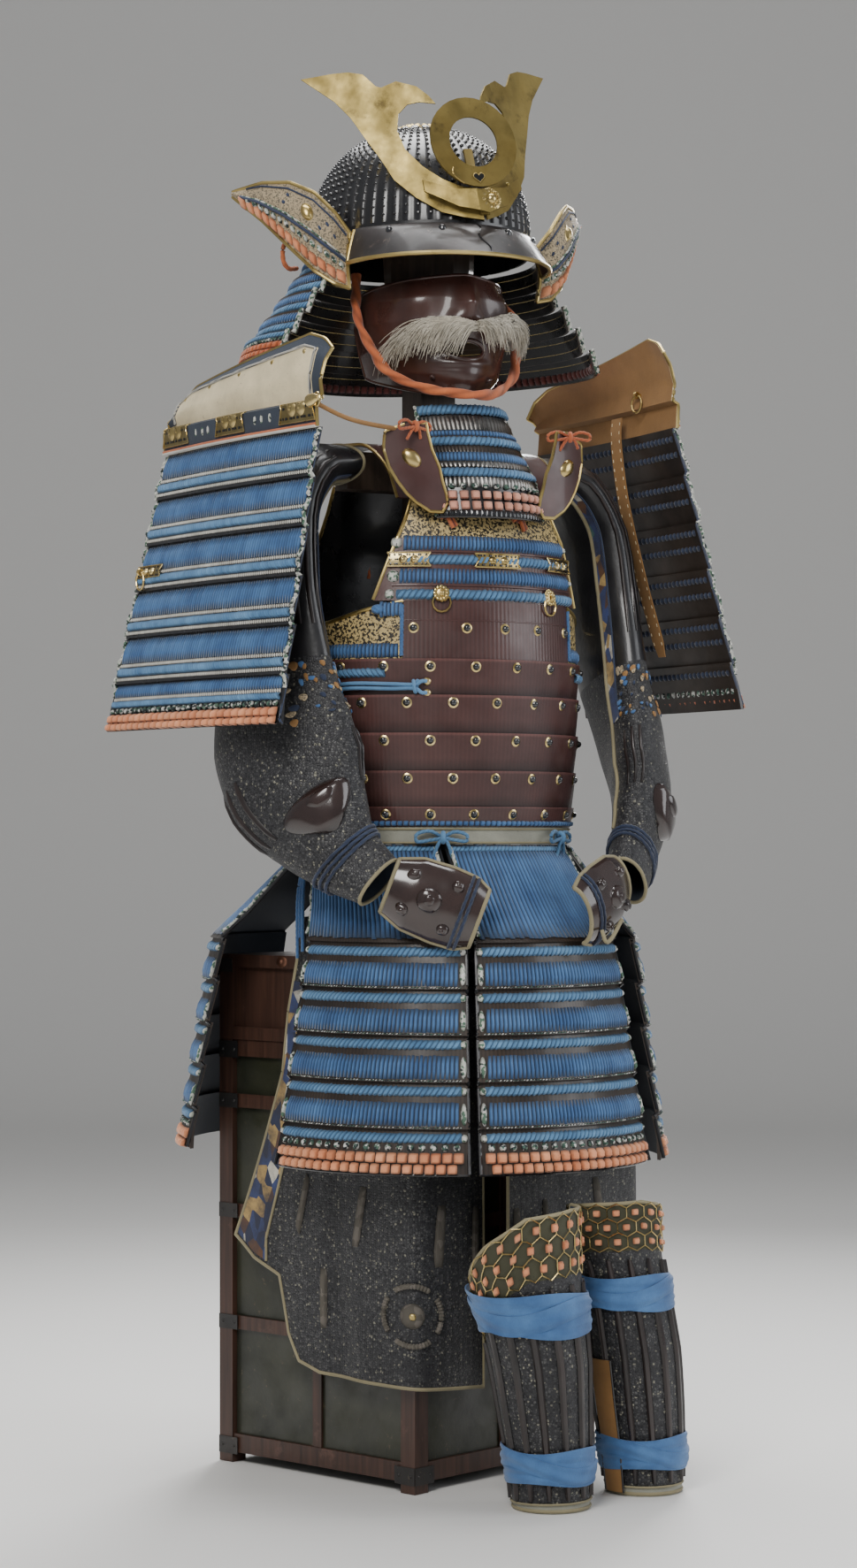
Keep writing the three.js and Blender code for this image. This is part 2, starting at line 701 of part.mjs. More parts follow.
function shoulderStrap(side) {
  const curve = new THREE.CatmullRomCurve3(STRAP.map((row) => vec(side * row.x, row.y, row.z)));
  return wall({
    across: 3, down: 10, thick: 4,
    point: (u, v, depth) => {
      const along = curve.getTangent(v);
      const over = new THREE.Vector3().crossVectors(vec(1, 0, 0), along).normalize();
      if (over.z < 0 || (Math.abs(over.z) < 0.2 && over.y > 0 && v < 0.5)) over.negate();
      const wide = 20;
      return curve.getPoint(v).add(vec(lerp(-wide, wide, u), 0, 0)).addScaledVector(over, 4 - depth);
    },
  });
}

add(armour, 'strap_right', 'russetLacquer', shoulderStrap(-1));
add(armour, 'strap_left', 'russetLacquer', shoulderStrap(1));

// Chest pads: leaf-shaped lacquered plates over the armholes' front corners.
const PAD = { x: 98, y: -139, top: 1214, bottom: 1114, wide: 76, turn: 16.4 };
const PAD_EDGES = [
  { v: 0, from: -0.1, to: 0.16 }, { v: 0.1, from: -0.46, to: 0.18 }, { v: 0.3, from: -0.48, to: 0.25 },
  { v: 0.5, from: -0.4, to: 0.37 }, { v: 0.66, from: -0.28, to: 0.42 }, { v: 0.8, from: -0.14, to: 0.48 },
  { v: 0.9, from: 0, to: 0.5 }, { v: 1, from: 0.22, to: 0.42 },
];

function chestPad(side) {
  const turn = deg(PAD.turn);
  return wall({
    across: 6, down: 10, thick: 2.6,
    point: (u, v, depth) => {
      const row = read(PAD_EDGES, 'v', v);
      const s = -PAD.wide * lerp(row.from, row.to, u);
      const out = 5 * Math.cos((Math.PI * s) / PAD.wide) - depth;
      const x = PAD.x + s * Math.cos(turn) + out * Math.sin(turn);
      const y = PAD.y + s * Math.sin(turn) - out * Math.cos(turn);
      return vec(side * x, y, lerp(PAD.top, PAD.bottom, v));
    },
  });
}

add(armour, 'chest_pad_right', 'russetLacquer', chestPad(-1));
add(armour, 'chest_pad_left', 'russetLacquer', chestPad(1));

// ---------- shoulder guards ----------
// Each hangs beside its sleeve: from the cap down it leans away from the arm, and its rear edge
// stands further out.
const GUARDS = {
  right: {
    side: -1, lift: 0,
    top: { front: 230, rear: 257, frontY: -158, rearY: 176 },
    low: { front: 275, rear: 330, frontY: -150, rearY: 190 },
  },
  left: {
    side: 1, lift: 28,
    top: { front: 245, rear: 257, frontY: -158, rearY: 170 },
    low: { front: 338, rear: 338, frontY: -166, rearY: 176 },
  },
};

function onGuard({ side, lift, top, low }, u, z, out) {
  const t = (SHOULDER.body + lift - z) / (SHOULDER.body - SHOULDER.bottom);
  const y = lerp(lerp(top.frontY, top.rearY, u), lerp(low.frontY, low.rearY, u), t);
  const reach = lerp(lerp(top.front, top.rear, u), lerp(low.front, low.rear, u), Math.max(t, 0));
  const belly = 8 * Math.sin(Math.PI * u);
  return vec(side * (reach + belly + out), y, z);
}

function guardTiers(guard) {
  const rows = 2 * SHOULDER.tiers;
  const top = SHOULDER.body + guard.lift - GAP;
  const bottom = SHOULDER.bottom + guard.lift;
  return wall({
    across: 5, down: rows, thick: LACED,
    point: (u, v, depth) => {
      const step = Math.round(v * rows);
      const z = lerp(top, bottom, v) + (step % 2 === 0 && step > 0 && step < rows ? 10 : 0);
      const proud = step % 2 === 1 || step === 0 || step === rows ? 0 : 5;
      return onGuard(guard, u, z, proud - depth);
    },
  });
}

const CAP_TOP = [
  { u: 0, z: 1288 }, { u: 0.04, z: 1300 }, { u: 0.12, z: 1308 }, { u: 0.86, z: 1277 },
  { u: 0.95, z: 1265 }, { u: 1, z: 1246 },
];

// Down the cap: a rounded leather plate, then the strip that carries the fittings.
const CAP_FORM = [
  { step: 0, part: 1, out: -14 }, { step: 1, part: 0.75, out: -6 }, { step: 2, part: 0.35, out: 0 },
  { step: 3, part: 0, out: -2 }, { step: 4, part: -0.05, out: 6 }, { step: 5, part: -0.4, out: 4 },
];

function guardCap(guard) {
  const rows = CAP_FORM.length - 1;
  return wall({
    across: 8, down: rows, thick: 3,
    point: (u, v, depth) => {
      const { part, out } = CAP_FORM[Math.round(v * rows)];
      const top = read(CAP_TOP, 'u', u).z;
      const low = part < 0 ? SHOULDER.body + GAP : top;
      const z = lerp(SHOULDER.cap, low, part < 0 ? part / -0.4 : part);
      return onGuard(guard, u, z + guard.lift, out - depth);
    },
  });
}

// The right guard carries a ring outside at its rear edge, the left cap one inside.
const GUARD_STUD = { at: onGuard(GUARDS.right, 0.95, 1058, 0), reach: 15 };
const CAP_STUD = { at: onGuard(GUARDS.left, 0.25, 1276, -2), reach: 10 };
const OUTWARD = -Math.PI / 2;

add(armour, 'shoulder_cap_right', 'leather', guardCap(GUARDS.right));
add(armour, 'shoulder_guard_right', 'blueLacing', joined(
  guardTiers(GUARDS.right),
  studEye(GUARD_STUD.at, OUTWARD, GUARD_STUD.reach),
));
add(armour, 'shoulder_ring_right', 'brass', hangingRing(GUARD_STUD.at, OUTWARD, GUARD_STUD.reach));
add(armour, 'shoulder_cap_left', 'leather', joined(
  guardCap(GUARDS.left),
  studEye(CAP_STUD.at, OUTWARD, CAP_STUD.reach),
));
add(armour, 'shoulder_guard_left', 'blueLacing', guardTiers(GUARDS.left));
add(armour, 'shoulder_ring_left', 'brass', hangingRing(CAP_STUD.at, OUTWARD, CAP_STUD.reach));

// Tan strap hanging from inside the left cap, between the guard and the sleeve.
const HANGING = [
  { x: 249, y: -30, z: 1253 }, { x: 244, y: -36, z: 1222 }, { x: 247, y: -48, z: 1150 },
  { x: 262, y: -62, z: 1060 }, { x: 284, y: -76, z: 962 },
];

function hangingStrap() {
  const curve = new THREE.CatmullRomCurve3(HANGING.map((row) => vec(row.x, row.y, row.z)));
  return wall({
    across: 1, down: 8, thick: LEATHER,
    point: (u, v, depth) => curve.getPoint(v).add(vec(-depth, lerp(-11, 11, u), 0)),
  });
}

add(armour, 'hanging_strap', 'tan', hangingStrap());

// ---------- sleeves and hand guards ----------
// Oval rings along the right arm; `yaw` is the direction of the long half in plan.
const SLEEVE = [
  { x: -128, y: 0, z: 1178, long: 66, short: 24, yaw: 90 },
  { x: -176, y: -4, z: 1166, long: 76, short: 30, yaw: 90 },
  { x: -207, y: -10, z: 1112, long: 82, short: 30, yaw: 92 },
  { x: -218, y: -20, z: 1020, long: 84, short: 32, yaw: 96 },
  { x: -222, y: -34, z: 930, long: 90, short: 36, yaw: 104 },
  { x: -224, y: -52, z: 860, long: 100, short: 38, yaw: 114 },
  { x: -216, y: -80, z: 800, long: 90, short: 38, yaw: 122 },
  { x: -202, y: -110, z: 755, long: 66, short: 33, yaw: 128 },
  { x: -186, y: -138, z: 722, long: 46, short: 28, yaw: 134 },
  { x: -164, y: -174, z: 694, long: 34, short: 23, yaw: 140 },
];
// The left arm stands a little further out and forward at the elbow.
const LEFT_ARM = [
  { z: 1180, x: 0, y: -4 }, { z: 1020, x: -3, y: -8 }, { z: 930, x: -9, y: -14 }, { z: 860, x: -14, y: -22 },
  { z: 800, x: -13, y: -28 }, { z: 752, x: -6, y: -24 }, { z: 690, x: 4, y: -8 },
];

function sleeve(side) {
  const curve = new THREE.CatmullRomCurve3(SLEEVE.map((row) => {
    const shift = side > 0 ? read(LEFT_ARM, 'z', row.z) : { x: 0, y: 0 };
    return vec(row.x + shift.x, row.y + shift.y, row.z);
  }));
  const last = SLEEVE.length - 1;
  return wall({
    across: 12, down: last + 3, thick: CLOTH, ring: true,
    point: (u, v, depth) => {
      const t = v * last;
      const row = read(SLEEVE.map((entry, k) => ({ k, ...entry })), 'k', t);
      const along = curve.getTangent(v);
      const long = vec(Math.cos(deg(row.yaw)), Math.sin(deg(row.yaw)), 0);
      long.addScaledVector(along, -long.dot(along)).normalize();
      const short = new THREE.Vector3().crossVectors(along, long);
      const turn = 2 * Math.PI * u;
      const p = curve.getPoint(v)
        .addScaledVector(long, (row.long - depth) * Math.cos(turn))
        .addScaledVector(short, (row.short - depth) * Math.sin(turn));
      return vec(-side * p.x, p.y, p.z);
    },
  });
}

// Hand guard: an arched plate over the back of the hand, on its cloth.
const HAND = { long: 106, half: 45, rise: 26, spread: 78 };
const HANDS = {
  right: { side: -1, x: -116, y: -214, z: 672 },
  left: { side: 1, x: 103, y: -226, z: 674 },
};
const HAND_FORM = [
  { u: 0, width: 0.72 }, { u: 0.25, width: 0.95 }, { u: 0.6, width: 1 },
  { u: 0.85, width: 0.96 }, { u: 1, width: 0.78 },
];

function handGuard({ side, x, y, z }) {
  const out = vec(0.5 * side, -0.866, 0);
  const along = vec(-0.81 * side, -0.47, -0.35).normalize();
  const up = new THREE.Vector3().crossVectors(out, along).normalize();
  if (up.z < 0) up.negate();
  return wall({
    across: 6, down: 6, thick: 3,
    point: (u, v, depth) => {
      const { width } = read(HAND_FORM, 'u', u);
      const turn = deg(lerp(-HAND.spread, HAND.spread, v));
      return vec(x, y, z)
        .addScaledVector(along, HAND.long * (u - 0.5))
        .addScaledVector(up, (HAND.half * width - depth) * Math.sin(turn))
        .addScaledVector(out, (HAND.rise * width - depth) * Math.cos(turn) - HAND.rise / 2);
    },
  });
}

add(armour, 'sleeve_right', 'mail', sleeve(-1));
add(armour, 'sleeve_left', 'mail', sleeve(1));
add(armour, 'hand_guard_right', 'blackLacquer', handGuard(HANDS.right));
add(armour, 'hand_guard_left', 'blackLacquer', handGuard(HANDS.left));

// ---------- laced skirt ----------
// Panels 1 and 2 fall over the thighs, 3 on the left side; 4 and 5 stand out over the box's rear corners.
const FALL_FRONT = [
  { z: SKIRT.top, x: 0, y: -20, wide: 160, long: 136 },
  { z: SKIRT.lames, x: 8, y: -52, wide: 188, long: 178 },
  { z: SKIRT.bottom, x: 8, y: -52, wide: 228, long: 218 },
];
const FALL_SIDE = [
  { z: SKIRT.top, x: 0, y: -20, wide: 160, long: 136 },
  { z: SKIRT.lames, x: 8, y: -46, wide: 216, long: 194 },
  { z: SKIRT.bottom, x: 8, y: -46, wide: 248, long: 230 },
];
const FALL_REAR = [
  { z: SKIRT.top, x: 0, y: -20, wide: 160, long: 136 },
  { z: SKIRT.lames, x: 0, y: 12, wide: 243, long: 272 },
  { z: SKIRT.bottom, x: 0, y: 12, wide: 287, long: 296 },
];
const PANELS = [
  { from: -94, to: -25.6, fall: FALL_FRONT, out: 0 },
  { from: -23, to: 45, fall: FALL_FRONT, out: 2 },
  { from: 49, to: 112, fall: FALL_SIDE, out: 2 },
  { from: 118, to: 184, fall: FALL_REAR, out: 0, lift: 14 },
  { from: -169, to: -101, fall: FALL_REAR, out: 0, lift: 14 },
];

function skirtPanel({ from, to, fall, out, lift = 0 }) {
  const lacingRows = 2;
  const rows = lacingRows + 2 * SKIRT.tiers;
  const bottom = SKIRT.bottom + lift;
  const pitch = (SKIRT.lames - bottom) / SKIRT.tiers;
  return wall({
    across: 6, down: rows, thick: LACED,
    point: (u, v, depth) => {
      const step = Math.round(v * rows);
      let z = lerp(SKIRT.top, SKIRT.lames, step / lacingRows);
      let proud = 0;
      if (step > lacingRows) {
        const tier = step - lacingRows;
        z = SKIRT.lames - (pitch * tier) / 2 + (tier % 2 === 0 && step < rows ? 8 : -8);
        proud = tier % 2 === 0 && step < rows ? 6 : 0;
      }
      if (step === lacingRows) proud = 6;
      if (step === rows) z = bottom;
      const row = read(fall, 'z', z);
      const grow = out * Math.min(1, step / lacingRows) + proud - depth;
      return onEllipse(lerp(from, to, u), row.wide + grow, row.long + grow, z, row.x, row.y);
    },
  });
}

PANELS.forEach((panel, i) => add(armour, `skirt_${i + 1}`, 'blueLacing', skirtPanel(panel)));

// ---------- thigh apron ----------
// It hangs from a waistband on the lid and falls over the box's near faces and corner.
const WAISTBAND = { wide: 161, long: 131 };

// Each half follows a rounded square by height: close over the lid, then hanging free of the box.
const APRON_FALL = {
  right: [
    { z: 604, x: BOX.x, y: BOX.y, half: half + 10, power: 26 },
    { z: 540, x: BOX.x, y: BOX.y, half: half + 17, power: 14 },
    { z: 300, x: BOX.x, y: BOX.y, half: half + 20, power: 11 },
  ],
  left: [
    { z: 604, x: BOX.x, y: BOX.y, half: half + 13, power: 26 },
    { z: 520, x: BOX.x, y: BOX.y, half: half + 22, power: 14 },
    { z: 430, x: 14, y: 26, half: 194, power: 7 },
  ],
};

function onApron(fall, angle, z, depth, lap) {
  const form = read(fall, 'z', z);
  const turn = deg(angle - BOX.turn);
  const corner = Math.abs(Math.cos(turn)) ** form.power + Math.abs(Math.sin(turn)) ** form.power;
  const reach = form.half / corner ** (1 / form.power) - depth;
  const p = vec(form.x + reach * Math.cos(deg(angle)), form.y + reach * Math.sin(deg(angle)), 0);
  const fromBand = Math.hypot(p.x / (WAISTBAND.wide + lap - depth), p.y / (WAISTBAND.long + lap - depth));
  const over = THREE.MathUtils.smoothstep(APRON.top - z, 2, 38);
  const scale = fromBand < 1 ? 1 / fromBand : lerp(1 / fromBand, 1, over);
  return p.multiplyScalar(scale).setZ(z);
}

const APRON_RIGHT = {
  lap: 4,
  edge: [{ z: 650, angle: 193 }, { z: 470, angle: 186 }, { z: 275, angle: 165 }, { z: 100, angle: 165 }],
  split: 268,
  hem: [
    { u: 0, z: 275 }, { u: 0.08, z: 250 }, { u: 0.19, z: 232 }, { u: 0.24, z: 166 }, { u: 0.3, z: 136 },
    { u: 0.4, z: 126 }, { u: 0.73, z: 121 }, { u: 1, z: 112 },
  ],
};
const APRON_LEFT = {
  lap: 8,
  edge: [{ z: 650, angle: 346 }, { z: 470, angle: 352 }, { z: 275, angle: 372 }, { z: 100, angle: 372 }],
  split: 266,
  hem: APRON_RIGHT.hem,
};

function apronHalf(fall, { lap, edge, split, hem }) {
  return wall({
    across: 14, down: 9, thick: APRON.wall,
    point: (u, v, depth) => {
      const bottom = read(hem, 'u', u).z;
      const row = 9 * v;
      const z = row < 2 ? lerp(APRON.top, 611, row / 2) : lerp(611, bottom, (row - 2) / 7);
      const angle = lerp(read(edge, 'z', z).angle, split, u);
      const hang = THREE.MathUtils.smoothstep(600 - z, 0, 300);
      const fold = 2.5 * hang * Math.sin(u * 23) * Math.sin(u * Math.PI);
      return onApron(fall, angle, z, depth - fold, lap);
    },
  });
}

add(armour, 'apron_waistband', 'mail', wall({
  across: 24, down: 1, thick: 3, ring: true,
  point: (u, v, depth) => {
    const z = lerp(APRON.top, APRON.lid, v);
    return onEllipse(360 * u, WAISTBAND.wide - depth, WAISTBAND.long - depth, z);
  },
}));
add(armour, 'apron_right', 'mail', apronHalf(APRON_FALL.right, APRON_RIGHT));
add(armour, 'apron_left', 'mail', apronHalf(APRON_FALL.left, APRON_LEFT));

// ---------- shin guards, standing on the floor ----------
const SHIN_FORM = [
  { z: 0, radius: 44, lean: 0 }, { z: 60, radius: 47, lean: 0.1 }, { z: 160, radius: 56, lean: 0.4 },
  { z: 240, radius: 61, lean: 0.8 }, { z: 270, radius: 64, lean: 1 }, { z: SHIN.high, radius: 66, lean: 1.1 },
];
const SHINS = {
  right: {
    x: -2, y: -277, facing: -34, flare: 18, slim: 0,
    top: [
      { angle: -122, z: 222 }, { angle: -70, z: 244 }, { angle: -30, z: 296 },
      { angle: 6, z: 326 }, { angle: 60, z: 333 }, { angle: 122, z: 332 },
    ],
  },
  left: {
    x: 141, y: -248, facing: -18, flare: 2, slim: 0.2,
    top: [
      { angle: -122, z: 322 }, { angle: -40, z: 330 }, { angle: 20, z: 333 },
      { angle: 80, z: 324 }, { angle: 122, z: 314 },
    ],
  },
};

function shinGuard({ x, y, facing, flare, slim, top }) {
  const spread = 122;
  const levels = [0, 0.18, 0.42, 0.6, 0.74, 0.88, 1];
  return wall({
    across: 12, down: levels.length - 1, thick: SHIN.wall,
    point: (u, v, depth) => {
      const angle = lerp(-spread, spread, u);
      const high = read(top, 'angle', angle).z;
      const t = levels[Math.round(v * (levels.length - 1))];
      const z = t * high;
      const row = read(SHIN_FORM, 'z', z);
      const wide = flare * THREE.MathUtils.smoothstep(z, 200, 320) * Math.max(0, Math.cos(deg(angle + 70)));
      const reach = row.radius * (1 - slim * THREE.MathUtils.smoothstep(z, 60, 300)) + wide - depth;
      return onEllipse(angle + facing, reach, reach, z, x - 27 * row.lean, y + 15 * row.lean);
    },
  });
}

add(armour, 'shin_guard_right', 'mail', shinGuard(SHINS.right));
add(armour, 'shin_guard_left', 'mail', shinGuard(SHINS.left));
add(armour, 'chest_ring_right', 'brass', chestRing(-1));
add(armour, 'chest_ring_left', 'brass', chestRing(1));

// ---------- footprint centre at the origin ----------
const extent = new THREE.Box3().setFromObject(group);
armour.position.set(-(extent.min.x + extent.max.x) / 2, -(extent.min.y + extent.max.y) / 2, 0);

export default group;
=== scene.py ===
import math

import bpy
import numpy as np
from mathutils import Euler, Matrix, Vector

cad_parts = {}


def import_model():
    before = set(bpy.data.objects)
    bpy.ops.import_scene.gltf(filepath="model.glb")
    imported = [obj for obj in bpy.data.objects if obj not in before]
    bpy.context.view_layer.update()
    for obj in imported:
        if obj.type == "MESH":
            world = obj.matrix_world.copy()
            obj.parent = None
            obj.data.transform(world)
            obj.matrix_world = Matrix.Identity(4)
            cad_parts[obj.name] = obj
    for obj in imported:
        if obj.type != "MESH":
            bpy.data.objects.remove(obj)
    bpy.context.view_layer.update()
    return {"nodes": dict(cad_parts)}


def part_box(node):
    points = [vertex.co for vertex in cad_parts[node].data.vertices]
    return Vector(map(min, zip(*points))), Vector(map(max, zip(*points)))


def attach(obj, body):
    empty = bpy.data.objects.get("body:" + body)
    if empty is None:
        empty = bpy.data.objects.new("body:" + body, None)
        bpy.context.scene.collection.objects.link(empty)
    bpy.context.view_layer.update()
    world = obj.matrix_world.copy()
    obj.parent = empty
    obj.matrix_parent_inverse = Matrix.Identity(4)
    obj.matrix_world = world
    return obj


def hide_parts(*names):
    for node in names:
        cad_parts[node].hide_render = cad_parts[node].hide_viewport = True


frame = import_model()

# Work is in millimetres in the armour's own frame: it faces -Y, its left is +X, and its axis is x = 0, y = 0.
stand_low, stand_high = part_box("stand")
SHIFT = np.array([(stand_low.x + stand_high.x) / 2, (stand_low.y + stand_high.y) / 2, 0.0])
BODY = "armour_set"
VIEW_TURN = math.radians(-30)
rng = np.random.default_rng(7)


def world(points):
    return np.asarray(points, float) / 1000 + SHIFT


# --------------------------------------- camera, light, floor
def place_camera():
    data = bpy.data.cameras.new("camera")
    data.sensor_fit = "VERTICAL"
    data.sensor_height = 36
    data.lens = 75.53
    data.shift_y = 0.0358
    data.clip_end = 50
    camera = bpy.data.objects.new("camera", data)
    bpy.context.scene.collection.objects.link(camera)
    camera.location = world([-1950, -3377.5, 741])
    camera.rotation_euler = Euler((math.radians(90), 0, VIEW_TURN))
    bpy.context.scene.camera = camera


def lamp(name, place, aim, power, size, colour=(1, 1, 1), spread=180):
    data = bpy.data.lights.new(name, "AREA")
    data.energy = power
    data.size = size
    data.color = colour
    data.spread = math.radians(spread)
    light = bpy.data.objects.new(name, data)
    bpy.context.scene.collection.objects.link(light)
    light.location = place
    direction = Vector(aim) - Vector(place)
    light.rotation_euler = direction.to_track_quat("-Z", "Y").to_euler()


def stage_room():
    mesh = bpy.data.meshes.new("floor")
    far, high, bend = 5.8, 9.0, 1.2
    profile = [(-7.0, 0.0), (far - bend, 0.0)]
    for step in range(1, 9):
        turn = math.radians(90 * step / 8)
        profile.append((far - bend + bend * math.sin(turn), bend - bend * math.cos(turn)))
    profile.append((far, high))
    points, faces = [], []
    for side in (-9.0, 9.0):
        for back, up in profile:
            points.append((side * math.cos(VIEW_TURN) - back * math.sin(VIEW_TURN),
                           side * math.sin(VIEW_TURN) + back * math.cos(VIEW_TURN), up - 0.0005))
    count = len(profile)
    for k in range(count - 1):
        faces.append((k, count + k, count + k + 1, k + 1))
    mesh.from_pydata(points, [], faces)
    mesh.shade_smooth()
    floor = bpy.data.objects.new("floor", mesh)
    bpy.context.scene.collection.objects.link(floor)
    paint = bpy.data.materials.new("floor_paint")
    paint.use_nodes = True
    shader = paint.node_tree.nodes["Principled BSDF"]
    shader.inputs["Base Color"].default_value = (0.74, 0.73, 0.71, 1)
    shader.inputs["Roughness"].default_value = 0.8
    # Seen from behind, the backdrop lets the view through.
    nodes, links = paint.node_tree.nodes, paint.node_tree.links
    behind, clear = nodes.new("ShaderNodeNewGeometry"), nodes.new("ShaderNodeBsdfTransparent")
    mixed = nodes.new("ShaderNodeMixShader")
    links.new(behind.outputs["Backfacing"], mixed.inputs[0])
    links.new(shader.outputs[0], mixed.inputs[1])
    links.new(clear.outputs[0], mixed.inputs[2])
    links.new(mixed.outputs[0], nodes["Material Output"].inputs["Surface"])
    mesh.materials.append(paint)
    lamp("key", (-2.3, -2.2, 3.0), (0, 0, 0.9), 105, 1.6, (1, 0.98, 0.95))
    lamp("fill", (2.6, -2.4, 1.9), (0, 0, 0.8), 48, 2.2, (0.95, 0.97, 1))
    lamp("top", (0.3, 0.6, 3.4), (0, 0, 0.9), 42, 1.8, spread=120)
    lamp("rim", (2.2, 2.4, 2.2), (0, 0, 1.0), 34, 1.5, spread=80)
    sky = bpy.data.worlds.new("sky")
    sky.use_nodes = True
    sky.node_tree.nodes["Background"].inputs["Color"].default_value = (0.78, 0.8, 0.83, 1)
    sky.node_tree.nodes["Background"].inputs["Strength"].default_value = 0.34
    bpy.context.scene.world = sky


place_camera()
stage_room()


# --------------------------------------- finishes
class Nodes:
    """A material's nodes, made by short calls."""

    def __init__(self, name):
        self.material = bpy.data.materials.new(name)
        self.material.use_nodes = True
        self.tree = self.material.node_tree
        self.shader = self.tree.nodes["Principled BSDF"]
        self.place = self.node("ShaderNodeTexCoord").outputs["Object"]

    def node(self, kind, **settings):
        node = self.tree.nodes.new(kind)
        for key, value in settings.items():
            setattr(node, key, value)
        return node

    def link(self, out, socket):
        self.tree.links.new(out, socket)

    def set(self, node, socket, value):
        if isinstance(value, bpy.types.NodeSocket):
            self.link(value, node.inputs[socket])
        elif isinstance(value, tuple) and len(value) == 3 and node.inputs[socket].type == "RGBA":
            node.inputs[socket].default_value = (*value, 1)
        else:
            node.inputs[socket].default_value = value

    def fill(self, node, **values):
        for socket, value in values.items():
            node.inputs[socket].default_value = value
        return node

    def noise(self, scale, detail=4.0, rough=0.55, stretch=None):
        node = self.fill(self.node("ShaderNodeTexNoise"), Scale=scale, Detail=detail, Roughness=rough)
        self.link(self.moved(stretch), node.inputs["Vector"])
        return node.outputs["Fac"]

    def cells(self, scale, feature="F1", output="Distance", stretch=None, random=1.0):
        node = self.fill(self.node("ShaderNodeTexVoronoi", feature=feature), Scale=scale, Randomness=random)
        self.link(self.moved(stretch), node.inputs["Vector"])
        return node.outputs[output]

    def moved(self, stretch):
        if stretch is None:
            return self.place
        node = self.fill(self.node("ShaderNodeMapping"), Scale=stretch)
        self.link(self.place, node.inputs["Vector"])
        return node.outputs["Vector"]

    def ramp(self, value, stops, sharp=False):
        node = self.node("ShaderNodeValToRGB")
        node.color_ramp.interpolation = "CONSTANT" if sharp else "LINEAR"
        bar = node.color_ramp.elements
        while len(bar) < len(stops):
            bar.new(0.5)
        for element, (at, colour) in zip(bar, stops):
            element.position = at
            element.color = (*colour, 1) if len(colour) == 3 else colour
        self.link(value, node.inputs["Fac"])
        return node.outputs["Color"]

    def mix(self, amount, a, b, blend="MIX"):
        node = self.node("ShaderNodeMix", data_type="RGBA", blend_type=blend)
        self.set(node, 0, amount)
        self.set(node, 6, a)
        self.set(node, 7, b)
        return node.outputs[2]

    def fade(self, noise, low, dark, high, light):
        """Two colours that fade into each other over a noise's values from low to high."""
        return self.ramp(self.noise(*noise), [(low, dark), (high, light)])

    def times(self, a, b):
        node = self.node("ShaderNodeMath", operation="MULTIPLY")
        self.set(node, 0, a)
        self.set(node, 1, b)
        return node.outputs[0]

    def bump(self, height, strength, distance):
        node = self.fill(self.node("ShaderNodeBump"), Strength=strength, Distance=distance)
        self.link(height, node.inputs["Height"])
        self.link(node.outputs["Normal"], self.shader.inputs["Normal"])

    def tone(self, colour):
        """Colour times the mesh's own light-and-dark of its strands."""
        shade = self.node("ShaderNodeAttribute", attribute_name="tone").outputs["Fac"]
        return self.mix(1.0, colour, shade, "MULTIPLY")

    def done(self, colour, rough=0.5, metal=0.0, coat=0.0, sheen=0.0):
        self.set(self.shader, "Base Color", colour)
        self.set(self.shader, "Roughness", rough)
        self.set(self.shader, "Metallic", metal)
        self.shader.inputs["Coat Weight"].default_value = coat
        self.shader.inputs["Coat Roughness"].default_value = 0.12
        self.shader.inputs["Sheen Weight"].default_value = sheen
        return self.material


def grey(level):
    return (level, level, level)


def silk(name, dark, light, fine=1100.0, depth=0.5):
    """Corded silk: slow fading, fine twisted thread, shade from the mesh."""
    n = Nodes(name)
    slow = n.fade((24, 3), 0.3, dark, 0.72, light)
    thread = n.noise(fine, 2, stretch=(1, 1, 0.28))
    colour = n.mix(n.times(thread, 0.35), slow, tuple(0.45 * c for c in dark))
    n.bump(thread, depth, 0.0006)
    return n.done(n.tone(colour), 0.82, sheen=0.25)


def lacquer(name, dark, light, rough=0.26, coat=0.5, wear=None, toned=True, bump=0.12):
    n = Nodes(name)
    slow = n.fade((13, 6, 0.6), 0.35, dark, 0.75, light)
    if wear:
        worn = n.fade((75, 8, 0.75), 0.6, grey(0), 0.72, grey(1))
        slow = n.mix(worn, slow, wear)
    fine = n.noise(170, 5)
    n.bump(fine, bump, 0.0008)
    gloss = n.fade((30, 5), 0.3, grey(rough * 0.75), 0.8, grey(min(1, rough * 1.7)))
    return n.done(n.tone(slow) if toned else slow, gloss, coat=coat)


def metal(name, dark, light, rough=0.3, patina=(0.12, 0.08, 0.03), toned=False, much=0.62):
    n = Nodes(name)
    slow = n.fade((11, 7, 0.62), 0.3, dark, 0.7, light)
    spots = n.fade((46, 9, 0.72), much, grey(0), much + 0.16, grey(0.8))
    colour = n.mix(spots, slow, patina)
    n.bump(n.noise(120, 6), 0.14, 0.0008)
    gloss = n.fade((24, 6), 0.3, grey(rough * 0.8), 0.75, grey(min(1, rough * 1.8)))
    return n.done(n.tone(colour) if toned else colour, gloss, metal=1.0)


def mottled(name, colours, scale, bump=0.5):
    """Short lengths of several colours side by side, as a mixed cord shows."""
    n = Nodes(name)
    pick = n.cells(scale, output="Color")
    stops = [(k / len(colours), colour) for k, colour in enumerate(colours)]
    colour = n.ramp(pick, stops, sharp=True)
    thread = n.noise(900, 2)
    n.bump(thread, bump, 0.0006)
    colour = n.mix(n.times(thread, 0.3), colour, (0.05, 0.05, 0.04))
    return n.done(n.tone(colour), 0.85)


